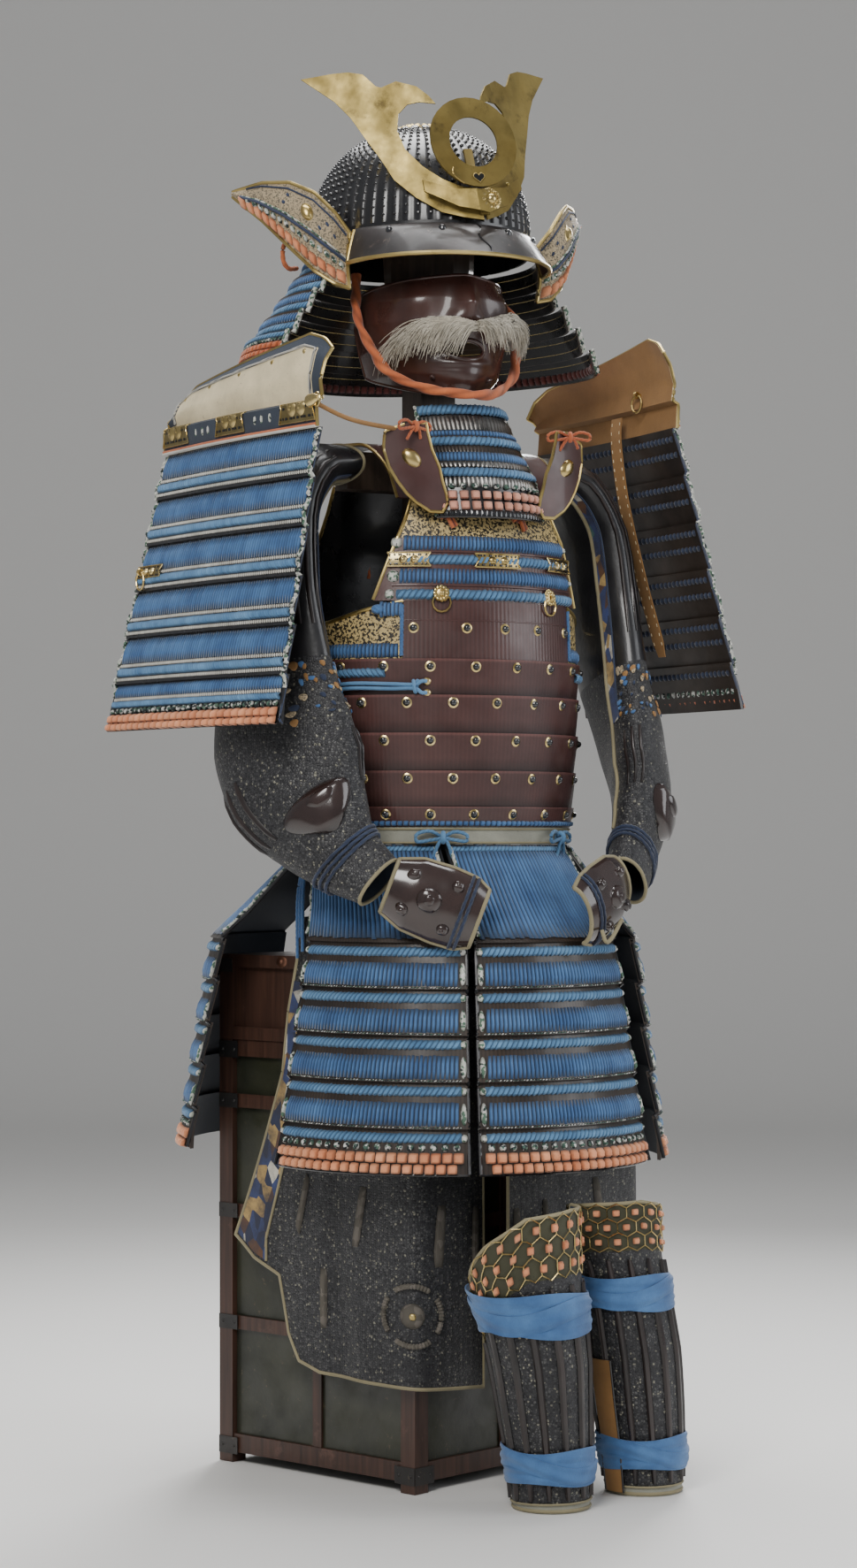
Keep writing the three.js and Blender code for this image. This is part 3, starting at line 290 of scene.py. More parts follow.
def mail_cloth(name):
    """Small dark rings with bright worn ones among them, on black cloth."""
    n = Nodes(name)
    ring = n.cells(340, "DISTANCE_TO_EDGE", random=0.7)
    wire = n.ramp(ring, [(0.06, grey(0)), (0.2, grey(1))])
    pick = n.cells(340, output="Color", random=0.7)
    bright = n.ramp(pick, [(0.0, (0.014, 0.014, 0.017)), (0.32, (0.04, 0.04, 0.045)),
                           (0.58, (0.09, 0.09, 0.09)), (0.82, (0.25, 0.24, 0.19))], sharp=True)
    patch = n.fade((17, 5, 0.65), 0.34, grey(0.5), 0.56, grey(1))
    colour = n.mix(n.times(wire, patch), (0.011, 0.011, 0.013), bright)
    n.bump(ring, 0.9, 0.0012)
    return n.done(colour, 0.5, metal=n.times(wire, 0.3), sheen=0.1)


def speckled_leather(name, dark, gold, scale):
    """Gold leather worn down to a dark crackle."""
    n = Nodes(name)
    mark = n.fade((scale, 3, 0.6), 0.47, grey(0), 0.51, grey(1))
    slow = n.fade((15, 5), 0.3, tuple(0.6 * c for c in gold), 0.7, gold)
    n.bump(n.noise(scale, 3, 0.6), 0.5, 0.0008)
    return n.done(n.mix(mark, dark, slow), 0.5, metal=0.15)


def printed_leather(name, ground, ink, scale, amount=0.6):
    """Pale leather with a small broken print and stains."""
    n = Nodes(name)
    print_ = n.fade((scale, 6, 0.75), amount, grey(0), amount + 0.05, grey(0.85))
    stain = n.fade((20, 7, 0.65), 0.35, tuple(0.72 * c for c in ground), 0.7, ground)
    n.bump(n.noise(380, 5), 0.35, 0.0007)
    return n.done(n.mix(print_, stain, ink), 0.72, sheen=0.1)


def brocade(name):
    """Woven silk in patches of navy, gold, white and brown, in no one's pattern."""
    n = Nodes(name)
    pick = n.cells(88, output="Color", stretch=(1, 1, 0.6))
    stops = [(0.0, (0.014, 0.022, 0.06)), (0.34, (0.03, 0.05, 0.15)), (0.52, (0.42, 0.28, 0.1)),
             (0.66, (0.55, 0.52, 0.44)), (0.76, (0.1, 0.045, 0.02)), (0.88, (0.05, 0.13, 0.12))]
    colour = n.ramp(pick, stops, sharp=True)
    worn = n.fade((26, 7, 0.7), 0.4, grey(0.8), 0.62, grey(0))
    colour = n.mix(worn, colour, (0.016, 0.016, 0.03))
    weave = n.noise(800, 2)
    n.bump(weave, 0.4, 0.0006)
    return n.done(colour, 0.75, sheen=0.2)


def timber(name, dark, light):
    n = Nodes(name)
    line = n.noise(150, 5, 0.6, stretch=(1, 1, 0.05))
    colour = n.ramp(line, [(0.3, dark), (0.7, light)])
    worn = n.fade((18, 8, 0.72), 0.6, grey(0), 0.75, grey(0.7))
    colour = n.mix(worn, colour, tuple(min(1, 2.1 * c + 0.02) for c in light))
    n.bump(line, 0.22, 0.0008)
    return n.done(colour, 0.5, coat=0.15)


BLUE = silk("blue_silk", (0.036, 0.11, 0.28), (0.095, 0.23, 0.48))
BRAID = silk("blue_braid", (0.06, 0.18, 0.36), (0.15, 0.33, 0.55))
NAVY = silk("navy_silk", (0.012, 0.02, 0.05), (0.03, 0.05, 0.11))
ORANGE = silk("orange_silk", (0.74, 0.24, 0.1), (0.95, 0.43, 0.22))
PINK = silk("pink_silk", (0.62, 0.25, 0.17), (0.8, 0.4, 0.28))
RED = silk("red_silk", (0.1, 0.018, 0.014), (0.2, 0.04, 0.03))
CORAL = silk("coral_cloth", (0.44, 0.1, 0.035), (0.68, 0.19, 0.06), fine=500)
WHITE = silk("white_silk", (0.5, 0.48, 0.42), (0.75, 0.73, 0.66))
MIXED = mottled("mixed_cord", [(0.72, 0.72, 0.66), (0.6, 0.63, 0.55), (0.1, 0.19, 0.13), (0.75, 0.74, 0.7),
                               (0.03, 0.05, 0.05)], 330)
MIXED_DARK = mottled("mixed_beads", [(0.6, 0.62, 0.57), (0.06, 0.13, 0.1), (0.7, 0.7, 0.66),
                                     (0.02, 0.03, 0.035), (0.12, 0.2, 0.14)], 380)
OLIVE = printed_leather("olive_piping", (0.3, 0.26, 0.15), (0.12, 0.09, 0.05), 160, 0.66)
CREAM = printed_leather("cream_leather", (0.84, 0.72, 0.47), (0.1, 0.06, 0.035), 300, 0.63)
FIGURED = printed_leather("figured_leather", (0.47, 0.37, 0.23), (0.04, 0.04, 0.035), 430, 0.5)
TAN = printed_leather("tan_leather", (0.33, 0.17, 0.055), (0.12, 0.05, 0.02), 60, 0.72)
PALE = printed_leather("pale_hem", (0.33, 0.33, 0.27), (0.12, 0.12, 0.1), 220, 0.64)
NAVY_LEATHER = printed_leather("navy_leather", (0.03, 0.042, 0.065), (0.1, 0.1, 0.1), 300, 0.7)
GOLD_LEATHER = speckled_leather("gold_leather", (0.015, 0.012, 0.009), (0.66, 0.5, 0.22), 330)
BLACK = lacquer("black_lacquer", (0.006, 0.006, 0.008), (0.018, 0.018, 0.02))
STEEL = lacquer("rivet_black", (0.012, 0.013, 0.016), (0.03, 0.032, 0.036), 0.16, 0.8)
RUSSET = lacquer("russet_lacquer", (0.05, 0.02, 0.018), (0.085, 0.034, 0.03), 0.4, 0.3)
VISOR = lacquer("visor_lacquer", (0.01, 0.008, 0.008), (0.032, 0.02, 0.018), 0.4, 0.25, (0.13, 0.1, 0.08))
FACE = lacquer("mask_lacquer", (0.034, 0.014, 0.011), (0.075, 0.029, 0.022), 0.3, 0.5)
MOULDED = lacquer("moulded_lame", (0.02, 0.013, 0.01), (0.055, 0.036, 0.024), 0.42, 0.25)
SPLINT = lacquer("splint", (0.012, 0.009, 0.009), (0.035, 0.022, 0.02), 0.34, 0.3)
DOME = lacquer("dome_plate", (0.02, 0.011, 0.01), (0.05, 0.028, 0.024), 0.16, 0.8)
TAUPE = mottled("taupe_iron", [(0.13, 0.115, 0.095), (0.1, 0.088, 0.072), (0.16, 0.14, 0.12)], 120, bump=0.2)
SILVER = metal("silver_lame", (0.2, 0.19, 0.18), (0.62, 0.6, 0.57), 0.3, (0.03, 0.03, 0.03), True, 0.5)
BRASS = metal("brass", (0.3, 0.225, 0.07), (0.5, 0.4, 0.15), 0.36)
GILT = metal("gilt", (0.5, 0.36, 0.12), (0.85, 0.68, 0.34), 0.24, (0.08, 0.05, 0.02), True, 0.56)
RIM = metal("rim_brass", (0.38, 0.27, 0.09), (0.66, 0.52, 0.22), 0.3, (0.1, 0.07, 0.03))
IRON = lacquer("iron_bracket", (0.01, 0.01, 0.01), (0.035, 0.03, 0.027), 0.45, 0.1, (0.14, 0.1, 0.07), False)
COPPER = metal("copper", (0.1, 0.045, 0.03), (0.24, 0.12, 0.08), 0.42)
MAIL = mail_cloth("mail")
TARRED = lacquer("sleeve_leather", (0.007, 0.007, 0.009), (0.02, 0.02, 0.022), 0.36, 0.35, None, False, 0.5)
QUILT = printed_leather("quilted_cloth", (0.05, 0.05, 0.024), (0.022, 0.022, 0.012), 240, 0.6)
BROCADE = brocade("brocade")
WOOD = timber("frame_wood", (0.026, 0.012, 0.008), (0.072, 0.032, 0.02))
PANEL = lacquer("panel_lacquer", (0.012, 0.014, 0.008), (0.035, 0.036, 0.02), 0.42, 0.2, (0.1, 0.075, 0.04),
                False, 0.3)
BAR = timber("stand_wood", (0.04, 0.026, 0.018), (0.085, 0.058, 0.04))
HAIR = silk("hair", (0.42, 0.37, 0.28), (0.78, 0.73, 0.62), fine=700, depth=0.2)


# --------------------------------------- mesh tools
class Build:
    """Quads gathered into one mesh, with a material and a light-and-dark value for each part."""

    def __init__(self):
        self.points, self.faces, self.tones, self.slots, self.paints = [], [], [], [], []
        self.count = 0

    def add(self, points, faces, paint, tone=1.0):
        points = np.asarray(points, float).reshape(-1, 3)
        if paint not in self.paints:
            self.paints.append(paint)
        self.points.append(points)
        self.faces.append(np.asarray(faces, int) + self.count)
        self.tones.append(np.broadcast_to(np.asarray(tone, float).ravel(), (len(points),))
                          if np.size(tone) in (1, len(points)) else np.ones(len(points)))
        self.slots.append(np.full(len(faces), self.paints.index(paint)))
        self.count += len(points)

    def make(self, name, replaces=(), sharp=38):
        points = world(np.concatenate(self.points))
        faces = np.concatenate(self.faces).astype(np.int32)
        mesh = bpy.data.meshes.new(name)
        mesh.vertices.add(len(points))
        mesh.vertices.foreach_set("co", points.astype(np.float32).ravel())
        mesh.loops.add(faces.size)
        mesh.loops.foreach_set("vertex_index", faces.ravel())
        mesh.polygons.add(len(faces))
        mesh.polygons.foreach_set("loop_start", np.arange(0, faces.size, 4, dtype=np.int32))
        mesh.polygons.foreach_set("material_index", np.concatenate(self.slots).astype(np.int32))
        for paint in self.paints:
            mesh.materials.append(paint)
        mesh.update(calc_edges=True)
        mesh.attributes.new("tone", "FLOAT", "POINT").data.foreach_set(
            "value", np.concatenate(self.tones).astype(np.float32))
        mesh.shade_smooth()
        mesh.set_sharp_from_angle(angle=math.radians(sharp))
        piece = bpy.data.objects.new(name, mesh)
        bpy.context.scene.collection.objects.link(piece)
        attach(piece, BODY)
        if replaces:
            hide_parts(*replaces)
        return piece

    def dress(self, node, **more):
        """Makes the finer piece that takes a node's place."""
        return self.make(f"{node}_fine", [node], **more)


def stack(x, y, z):
    return np.stack(np.broadcast_arrays(x, y, z), -1).astype(float)


def unit(vectors, least=0.0):
    """Vectors brought to length 1."""
    vectors = np.asarray(vectors, float)
    return vectors / (np.linalg.norm(vectors, axis=-1, keepdims=True) + least)


def smooth(value, low, high):
    t = np.clip((value - low) / (high - low), 0, 1)
    return t * t * (3 - 2 * t)


def columns(rows, value):
    """Every column of a table at values of its first column."""
    rows = np.array(rows, float)
    if rows[0, 0] > rows[-1, 0]:
        rows = rows[::-1]
    return [np.interp(value, rows[:, 0], rows[:, k]) for k in range(1, rows.shape[1])]


def turned(x, y, z, turn, dx=0, dy=0):
    """Points turned about the upright axis and then moved."""
    return np.stack([x * math.cos(turn) - y * math.sin(turn) + dx, x * math.sin(turn) + y * math.cos(turn) + dy,
                     z], -1)


def ellipse(angle, wide, long, z, x=0.0, y=0.0):
    turn = np.radians(angle)
    return stack(x + wide * np.sin(turn), y - long * np.cos(turn), z)


def quads(across, down, ring=False):
    wide = across if ring else across + 1
    j, i = np.mgrid[0:down, 0:across]
    a = j * wide + i
    b = j * wide + (i + 1) % wide
    return np.stack([a, b, b + wide, a + wide], -1).reshape(-1, 4)


def outward(faces, points, inner):
    """Turns the faces so that they look away from the inner points, or from one centre."""
    corner = points[faces]
    normal = np.cross(corner[:, 2] - corner[:, 0], corner[:, 3] - corner[:, 1])
    return faces if (normal * (points - inner)[faces].mean(1)).sum() >= 0 else faces[:, ::-1]


def shell(build, point, across, down, thick, paint, ring=False, lining=None, tone=None, rows=None):
    """A wall of cloth or plate: point(u, v, depth) with depth 0 on its face."""
    u = np.linspace(0, 1, across + 1)[:across if ring else across + 1]
    v = np.linspace(0, 1, down + 1) if rows is None else np.asarray(rows, float)
    down = len(v) - 1
    uu, vv = np.meshgrid(u, v)
    face = point(uu, vv, 0.0).reshape(-1, 3)
    back = point(uu, vv, thick).reshape(-1, 3)
    faces = quads(across, down, ring)
    faces = outward(faces, face, back)
    shade = 1.0 if tone is None else tone(uu, vv)
    build.add(face, faces, paint, shade)
    # Painted shade: the back face gets tone 0.8, and the edge strips below get tone 0.9.
    build.add(back, faces[:, ::-1], lining or paint, 0.8)
    wide = across if ring else across + 1
    edges = [np.arange(wide), np.arange(wide) + down * wide]
    if not ring:
        edges += [np.arange(down + 1) * wide, np.arange(down + 1) * wide + wide - 1]
    for line in edges:
        if ring:
            line = np.append(line, line[0])
        strip = np.concatenate([face[line], back[line]])
        cap = quads(len(line) - 1, 1)
        build.add(strip, cap, paint, 0.9)


def skin(build, surface, *sizes, **more):
    """A wall that hangs from the face surface(u, v, out)."""
    shell(build, lambda u, v, depth: surface(u, v, -depth), *sizes, **more)


def patch(build, surface, u0, u1, v0, v1, out, *sizes, **more):
    """A thin piece that lies on a part of surface(u, v, out)."""
    shell(build, lambda u, v, depth: surface(u0 + (u1 - u0) * u, v0 + (v1 - v0) * v, out - depth), *sizes,
          **more)


def legs(*parts):
    """Two coordinates along straight legs, each given as its count of points and its two spans."""
    return [np.concatenate([np.linspace(leg[k], leg[k + 1], leg[0]) for leg in parts]) for k in (1, 3)]


def run(points):
    """How far along a line each of its points is."""
    return np.concatenate([[0], np.cumsum(np.linalg.norm(np.diff(points, axis=0), axis=1))])


def tube(build, points, radius, paint, sides=7, tone=1.0, flat=1.0, up=(0, 0, 1), twist=0.0, lobes=0.0):
    """A cord or rim along points. With twist (mm for one turn) its section has two lobes that wind round it."""
    points = np.asarray(points, float)
    count = len(points)
    radius = np.broadcast_to(np.asarray(radius, float), (count,))
    along = unit(np.gradient(points, axis=0), 1e-9)
    side = np.cross(along, np.asarray(up, float))
    weak = np.linalg.norm(side, axis=1) < 0.15
    side[weak] = np.cross(along[weak], np.array([1.0, 0.2, 0]))
    side = unit(side, 1e-9)
    rise = np.cross(side, along)
    length = run(points)
    turn = np.linspace(0, 2 * np.pi, sides + 1)[:-1][None, :]
    reach = radius[:, None] * np.ones((1, sides))
    shade = np.ones((count, sides)) * tone
    if twist:
        wave = np.abs(np.cos(turn - 2 * np.pi * length[:, None] / twist))
        reach = reach * (1 - lobes + lobes * wave)
        # Painted shade in the grooves of the twist: tone falls to half between the lobes.
        shade = shade * (0.5 + 0.5 * wave)
    ring = (points[:, None] + flat * (reach * np.cos(turn))[..., None] * side[:, None]
            + (reach * np.sin(turn))[..., None] * rise[:, None])
    start, end = points[:1, None].repeat(sides, 1), points[-1:, None].repeat(sides, 1)
    ring = np.concatenate([start * 0.97 + ring[:1] * 0.03, ring, end * 0.97 + ring[-1:] * 0.03])
    shade = np.concatenate([shade[:1], shade, shade[-1:]])
    build.add(ring.reshape(-1, 3), quads(sides, count + 1, True)[:, ::-1], paint, shade)


def between(at, keys, values):
    """Rows of values found at places between their keys."""
    return np.stack([np.interp(at, keys, values[:, k]) for k in range(values.shape[1])], -1)


def curve(points, steps):
    """A smooth curve through given points, in as many steps between each two."""
    p = np.asarray(points, float)
    p = np.concatenate([[2 * p[0] - p[1]], p, [2 * p[-1] - p[-2]]])
    t = np.linspace(0, 1, steps, endpoint=False)[:, None]
    out = []
    for a, b, c, d in zip(p, p[1:], p[2:], p[3:]):
        out.append(0.5 * (2 * b + (c - a) * t + (2 * a - 5 * b + 4 * c - d) * t ** 2
                          + (3 * b - a - 3 * c + d) * t ** 3))
    return np.concatenate(out + [p[-2:-1]])


def spline(points, count):
    """Even points on a smooth curve through given ones."""
    out = curve(points, 24)
    length = run(out)
    return between(np.linspace(0, length[-1], count), length, out)


class Row:
    """A line along a surface(a, z, out), measured in millimetres from its start."""

    def __init__(self, surface, start, end, height):
        self.surface = surface
        self.a = np.linspace(start, end, 160)
        self.height = height if callable(height) else (lambda a: height + 0 * a)
        self.s = run(surface(self.a, self.height(self.a), 0.0))
        self.length = self.s[-1]

    def at(self, s, t, out):
        a = np.interp(s, self.s, self.a)
        a = a + np.where(s < 0, s, np.where(s > self.length, s - self.length, 0)) \
            * (self.a[-1] - self.a[0]) / self.length
        return self.surface(a, self.height(a) + t, out)


def pads(build, row, pitch, tall, rise, paint, t=0.0, out=0.0, wide=None, slant=0.0, square=0.0, px=2.0, py=2.0,
         n=(5, 5), ridges=0.0, ends=0.0, at=None, loose=0.05, shade=0.12, floor=0.35):
    """Raised stitches, knots, beads or cords side by side along a row."""
    if at is None:
        count = max(1, int(round((row.length - 2 * ends) / pitch)))
        pitch = (row.length - 2 * ends) / count
        at = ends + (np.arange(count) + 0.5) * pitch
    at = np.atleast_1d(np.asarray(at, float))
    wide = wide or 0.98 * pitch
    gx, gy = np.meshgrid(np.linspace(-1, 1, n[0]), np.linspace(-1, 1, n[1]))
    x = gx * (square + (1 - square) * np.sqrt(1 - gy ** 2 / 2))
    y = gy * (square + (1 - square) * np.sqrt(1 - gx ** 2 / 2))
    body = (np.clip(1 - np.abs(gx) ** px, 0, 1) * np.clip(1 - np.abs(gy) ** py, 0, 1)) ** 0.5
    high = body * (1 + (0.16 * np.sin(ridges * (x + y)) if ridges else 0))
    k = len(at)
    size = 1 + loose * rng.uniform(-1, 1, (k, 1, 1))
    move = loose * rng.uniform(-1, 1, (k, 1, 1))
    s = at[:, None, None] + (x[None] + slant * y[None] + 0.4 * move) * wide / 2
    tt = t + y[None] * tall / 2 * size + move * tall * 0.3
    oo = out + high[None] * rise * size
    points = row.at(s, tt, oo)
    one = quads(n[0] - 1, n[1] - 1)
    faces = (one[None] + (np.arange(k) * n[0] * n[1])[:, None, None]).reshape(-1, 4)
    flat = points.reshape(-1, 3)
    base = row.at(s, tt, oo * 0 + out - math.copysign(8, rise)).reshape(-1, 3)
    faces = outward(faces, flat, base)
    # Painted shade: each pad darkens from its crown to floor at its edges, in the gaps between pads; shade adds
    # a random tone to each.
    tone = (floor + (1 - floor) * body[None]) * (1 + shade * rng.uniform(-1, 1, (k, 1, 1)))
    build.add(flat, faces, paint, tone)


def trace(build, surface, a, z, out, radius, paint, **more):
    """A cord or rim along lines of surface(a, z, out)."""
    tube(build, surface(*np.broadcast_arrays(a, z, out)), radius, paint, **more)


def dome(build, row, at, size, rise, paint, grid=5, **more):
    """Round bosses at places along a row."""
    pads(build, row, 1, size, rise, paint, **{"at": at, "wide": size, "n": (grid, grid), **more})


def level(surface, v, span, start=0, end=1):
    """A row on surface(u, v, out) where a span of millimetres goes up one unit of v."""
    return Row(lambda a, z, out: surface(a, v - z / span, out), start, end, 0)


def wire_eye(build, centre, across, ahead):
    """Two gilt wires side by side, in the plane of ahead and up, that hold a hanging ring."""
    turn = np.linspace(0, 2 * np.pi, 18)[:, None]
    for shift in (-1.0, 1.0):
        ring = centre + across * shift + 3.4 * (np.cos(turn) * ahead + np.sin(turn) * np.array([0, 0, 1]))
        tube(build, ring, 1.0, GILT, sides=6, up=across)


def band(build, row, tall, rise, paint, out=0.0, n=5, power=2.0, tone=1.0, start=0.0, end=None, step=7.0):
    """A half-round or flat strip along a row."""
    end = row.length if end is None else end
    count = max(2, int((end - start) / step))
    s, y = np.meshgrid(np.linspace(start, end, count + 1), np.linspace(-1, 1, n))
    high = np.clip(1 - np.abs(y) ** power, 0, 1) ** 0.5
    points = row.at(s, y * tall / 2, out + high * rise).reshape(-1, 3)
    base = row.at(s, y * tall / 2, out - math.copysign(8, rise) + 0 * s).reshape(-1, 3)
    faces = quads(count, n - 1)
    faces = outward(faces, points, base)
    build.add(points, faces, paint, tone)


def braid(build, row, tall, out=0.0, pitch=5.2, rise=3.4, lean=0.75, ends=0.0, **more):
    """A twisted flat braid: leaning lobes that lap over a rounded core."""
    # The core is painted darker (tone 0.45) as shade under the lobes.
    band(build, row, tall * 0.86, rise * 0.7, BRAID, out=out, tone=0.45)
    pads(build, row, pitch, tall, rise, BRAID, out=out + 0.3, wide=pitch * 1.5, slant=lean, n=(4, 5), py=2.4,
         ends=ends + pitch * 0.4, loose=0.06, floor=0.3, **more)


def lacing(build, row, tall, out=0.0, pitch=4.4, rise=2.4, lean=0.0, **more):
    """Flat silk cords standing side by side."""
    pads(build, row, pitch, tall, rise, BLUE, out=out, n=(4, 4), px=2.2, py=9.0, square=0.93, slant=lean,
         loose=0.035, floor=0.22, **more)


def knots(build, row, size, out=0.0, paint=ORANGE, tall=None, rise=4.5, pitch=None, n=(6, 6), **more):
    """Square silk knots with slanting threads."""
    pads(build, row, pitch or size * 1.05, tall or size, rise, paint, out=out, wide=size, square=0.72, px=3.4,
         py=3.4, n=n, ridges=9.0, **more)


def beads(build, row, size, out=0.0, paint=MIXED_DARK, rise=3.2, pitch=None, **more):
    pads(build, row, pitch or size * 1.3, size, rise, paint, out=out, wide=size, square=0.2, **more)


def dashes(build, row, out=0.0, tall=4.3, paint=WHITE, tone=0.6):
    """Short pale slanting stitches on a black line."""
    band(build, row, tall * 1.05, 0.5, BLACK, out=out, n=3, tone=tone)
    pads(build, row, 4.0, tall, 1.6, paint, out=out + 0.35, wide=4.0 * 0.62, slant=0.6, n=(3, 3), square=0.5,
         floor=0.9)


def rivets(build, row, at, out, size=8.6):
    """Black domes on gilt washers."""
    plain = dict(loose=0.0, shade=0.0, floor=1.0)
    dome(build, row, at, size * 1.42, 1.3, GILT, 7, out=out, **plain)
    dome(build, row, at, size, 4.2, STEEL, 7, out=out + 0.6, **plain)


def free_cord(name, points, thick, paint, far_end="bare", lay="hanging", replaces=(), **look):
    """A cord that is free between its ends, made as a tube of the given thickness."""
    build = Build()
    tube(build, points, thick / 2 if np.isscalar(thick) else np.asarray(thick) / 2, paint, **look)
    piece = build.make(name, replaces, sharp=60)
    return piece


def cut_of(surface):
    """The flat cut of a sheet given by surface(u, v, out): its width, length and area in metres."""
    v, u = np.mgrid[0:1:61j, 0:1:61j]
    grid = surface(u, v, 0.0 * u) / 1000
    across, down = np.diff(grid, axis=1), np.diff(grid, axis=0)
    wide = np.linalg.norm(across, axis=2).sum(1).max()
    long = np.linalg.norm(down, axis=2).sum(0).max()
    area = np.linalg.norm(np.cross(across[:-1], down[:, :-1]), axis=2).sum()
    return float(wide), float(long), float(min(area, wide * long))


def declare(piece, surface, with_pieces=()):
    wide, long, area = cut_of(surface)


# --------------------------------------- head
def head(points):
    """From the head's own frame, turned a little to the armour's right, to the armour's."""
    p = np.asarray(points, float)
    return turned(p[..., 0], p[..., 1], p[..., 2], math.radians(-6), -4, 8)


BOWL_WIDE, BOWL_LONG, BOWL_HIGH, BOWL_ARC = 125, 156, 131, 205
BOWL_RIM, BOWL_WALL, BOWL_X, BOWL_Y = 1450, 22, -3, 5


def on_bowl(angle, arc, out):
    """arc runs in millimetres from the rim up towards the crown."""
    t = np.radians(84 * np.clip(arc / BOWL_ARC, -0.1, 1.02))
    spread = np.cos(t) ** 0.85
    z = BOWL_RIM + (BOWL_HIGH + out) * np.sin(t)
    return head(ellipse(angle, (BOWL_WIDE + out) * spread, (BOWL_LONG + out) * spread, z, BOWL_X, BOWL_Y))


PLATES = 62


def make_bowl():
    build = Build()

    def seam(u, start):
        """1 where two plates meet, 0 from start inwards."""
        return smooth(np.abs(((u * PLATES) % 1) - 0.5) * 2, start, 1.0)

    def point(u, v, depth):
        angle = 360 * u
        z = BOWL_RIM - BOWL_WALL + BOWL_WALL * np.minimum(v / 0.12, 1)
        low = head(ellipse(angle, BOWL_WIDE - depth, BOWL_LONG - depth, z, BOWL_X, BOWL_Y))
        ridge = 1.5 * seam(u, 0.72) * (depth == 0)
        high = on_bowl(angle, BOWL_ARC * (v - 0.12) / 0.88, ridge - depth)
        return np.where((v <= 0.12)[..., None], low, high)

    rows = np.concatenate([[0, 0.06, 0.1199], np.linspace(0.121, 1, 20)])
    # Painted highlight: the tone rises along the seams, where the plates' ridges stand.
    shell(build, point, PLATES * 5, 22, 3, BLACK, ring=True, rows=rows,
          tone=lambda u, v: 0.75 + 0.6 * seam(u, 0.7))
    for arc in np.linspace(9, 176, 17):
        row = Row(on_bowl, -180, 180, arc)
        size = min(5.2, row.length / PLATES * 0.62)
        at = (np.arange(PLATES) + 0.5) * row.length / PLATES
        dome(build, row, at, size, 2.8, BLACK, 4, floor=1.0, loose=0.02)
    # Petals and rings round the crown's opening.
    for arc, size, count in ((196, 15, 16), (201, 10, 18), (204, 7, 20)):
        row = Row(on_bowl, -180, 180, arc)
        pads(build, row, row.length / count, size, 3.2, RIM if arc > 200 else BLACK,
             out=1.2 + (arc - 196) * 0.35, n=(5, 5), floor=0.9)
    build.dress("helmet_bowl", sharp=50)


def on_visor(u, v, depth):
    angle = -62 + 124 * u
    reach = 38 * np.maximum(np.cos(np.radians(angle) * 90 / 68), 0) ** 0.7 + 4
    grow = 3.3 + reach * v - depth * 0.5
    z = BOWL_RIM - 4 - 40 * v ** 1.25 - depth * 0.8
    return head(ellipse(angle, BOWL_WIDE + grow, BOWL_LONG + grow, z, BOWL_X, BOWL_Y))


def make_visor():
    build = Build()
    shell(build, on_visor, 60, 10, 2.4, VISOR, lining=RUSSET)
    u, v = legs((8, 0, 0, 0.05, 1), (60, 0, 1, 1, 1), (8, 1, 1, 1, 0.05))
    trace(build, on_visor, u, v, 1.2, 2.6, RIM)
    v = np.linspace(0.06, 0.99, 14)
    trace(build, on_visor, 0.5 + 0.012 * np.sin(v * 9), v, -0.2, 1.1, BLACK, sides=5)
    for at in (0.16, 0.36, 0.64, 0.84):
        row = Row(lambda a, z, o: on_visor(a, np.clip(z / 50, 0, 1), -o), at - 0.04, at + 0.04, 13)
        dome(build, row, row.length / 2, 9, 4, STEEL, 7, floor=1.0)
    build.dress("visor")


TURNBACK = [(0, 120, -64, 1442, 1378), (0.2, 138, -64, 1464, 1382), (0.4, 158, -50, 1488, 1398),
            (0.6, 179, -24, 1503, 1428), (0.8, 201, 6, 1506, 1462), (1, 224, 42, 1500, 1494)]


def turnback(side):
    def surface(u, v, out):
        x, y, top, bottom = columns(TURNBACK, u)
        reach = 9 * np.sin(np.pi * np.clip(v, 0, 1)) * np.sin(np.pi * (0.15 + 0.7 * u)) + out
        return head(stack(side * (x + 0.81 * reach), y - 0.58 * reach, bottom + (top - bottom) * v))
    return surface


def make_turnback(side, name):
    build = Build()
    surface = turnback(side)
    skin(build, surface, 40, 12, 3, FIGURED, lining=BLACK)
    u, v = legs((40, 0, 1, 0, 0), (40, 1, 0, 1, 1), (10, 0, 0, 1, 0))
    trace(build, surface, u, v, 0.0, 2.3, RIM)

    def line(share, end=0.9):
        def mapped(a, t, out):
            top, bottom = columns(TURNBACK, a)[2:]
            return surface(a, share + (t / (top - bottom)) * 1.0, out)
        return Row(mapped, 0.03, end, 0.0)

    knots(build, line(0.15, 0.95), 12.5, paint=ORANGE, rise=4.4, tall=14)
    beads(build, line(0.35, 0.9), 8, rise=3.6, out=0.6, pitch=10.5, paint=MIXED)
    u = np.linspace(0.01, 0.93, 60)
    trace(build, surface, u, 0.46, 1.4, 1.9, NAVY, sides=6)
    trace(build, surface, u, 0.51, 1.0, 1.3, MIXED, sides=5, twist=9, lobes=0.3)
    u = np.linspace(0.03, 0.9, 60)
    trace(build, surface, u, 0.9, 1.0, 1.4, NAVY, sides=5, twist=10, lobes=0.35)
    boss = line(0.71, 0.9)
    at = boss.length * 0.4
    dome(build, boss, at, 19, 1.5, GILT, 9, floor=0.8)
    dome(build, boss, at, 17, 6, GILT, 9, floor=0.75, px=2.4, py=2.4)
    for s, t in ((0.2, 4), (0.27, -7), (0.6, 7), (0.63, -3), (0.12, -2)):
        dome(build, boss, boss.length * s, 4.6, 1.6, NAVY, 4, wide=5.5, t=t, floor=0.8)
    build.dress(name)


NECK_FLARE = [(1426, 127, 132, 164), (1380, 160, 138, 196), (1290, 228, 154, 262)]


def on_neck(angle, z, grow):
    wide, front, back = columns(NECK_FLARE, z)
    behind = smooth(np.abs(angle), 67, 180)
    return head(ellipse(angle, wide + grow, front + (back - front) * behind + grow, z))


NECK_TOP, NECK_STEP, NECK_TALL, NECK_START, NECK_END = 1426, 25, 27, 67, 293


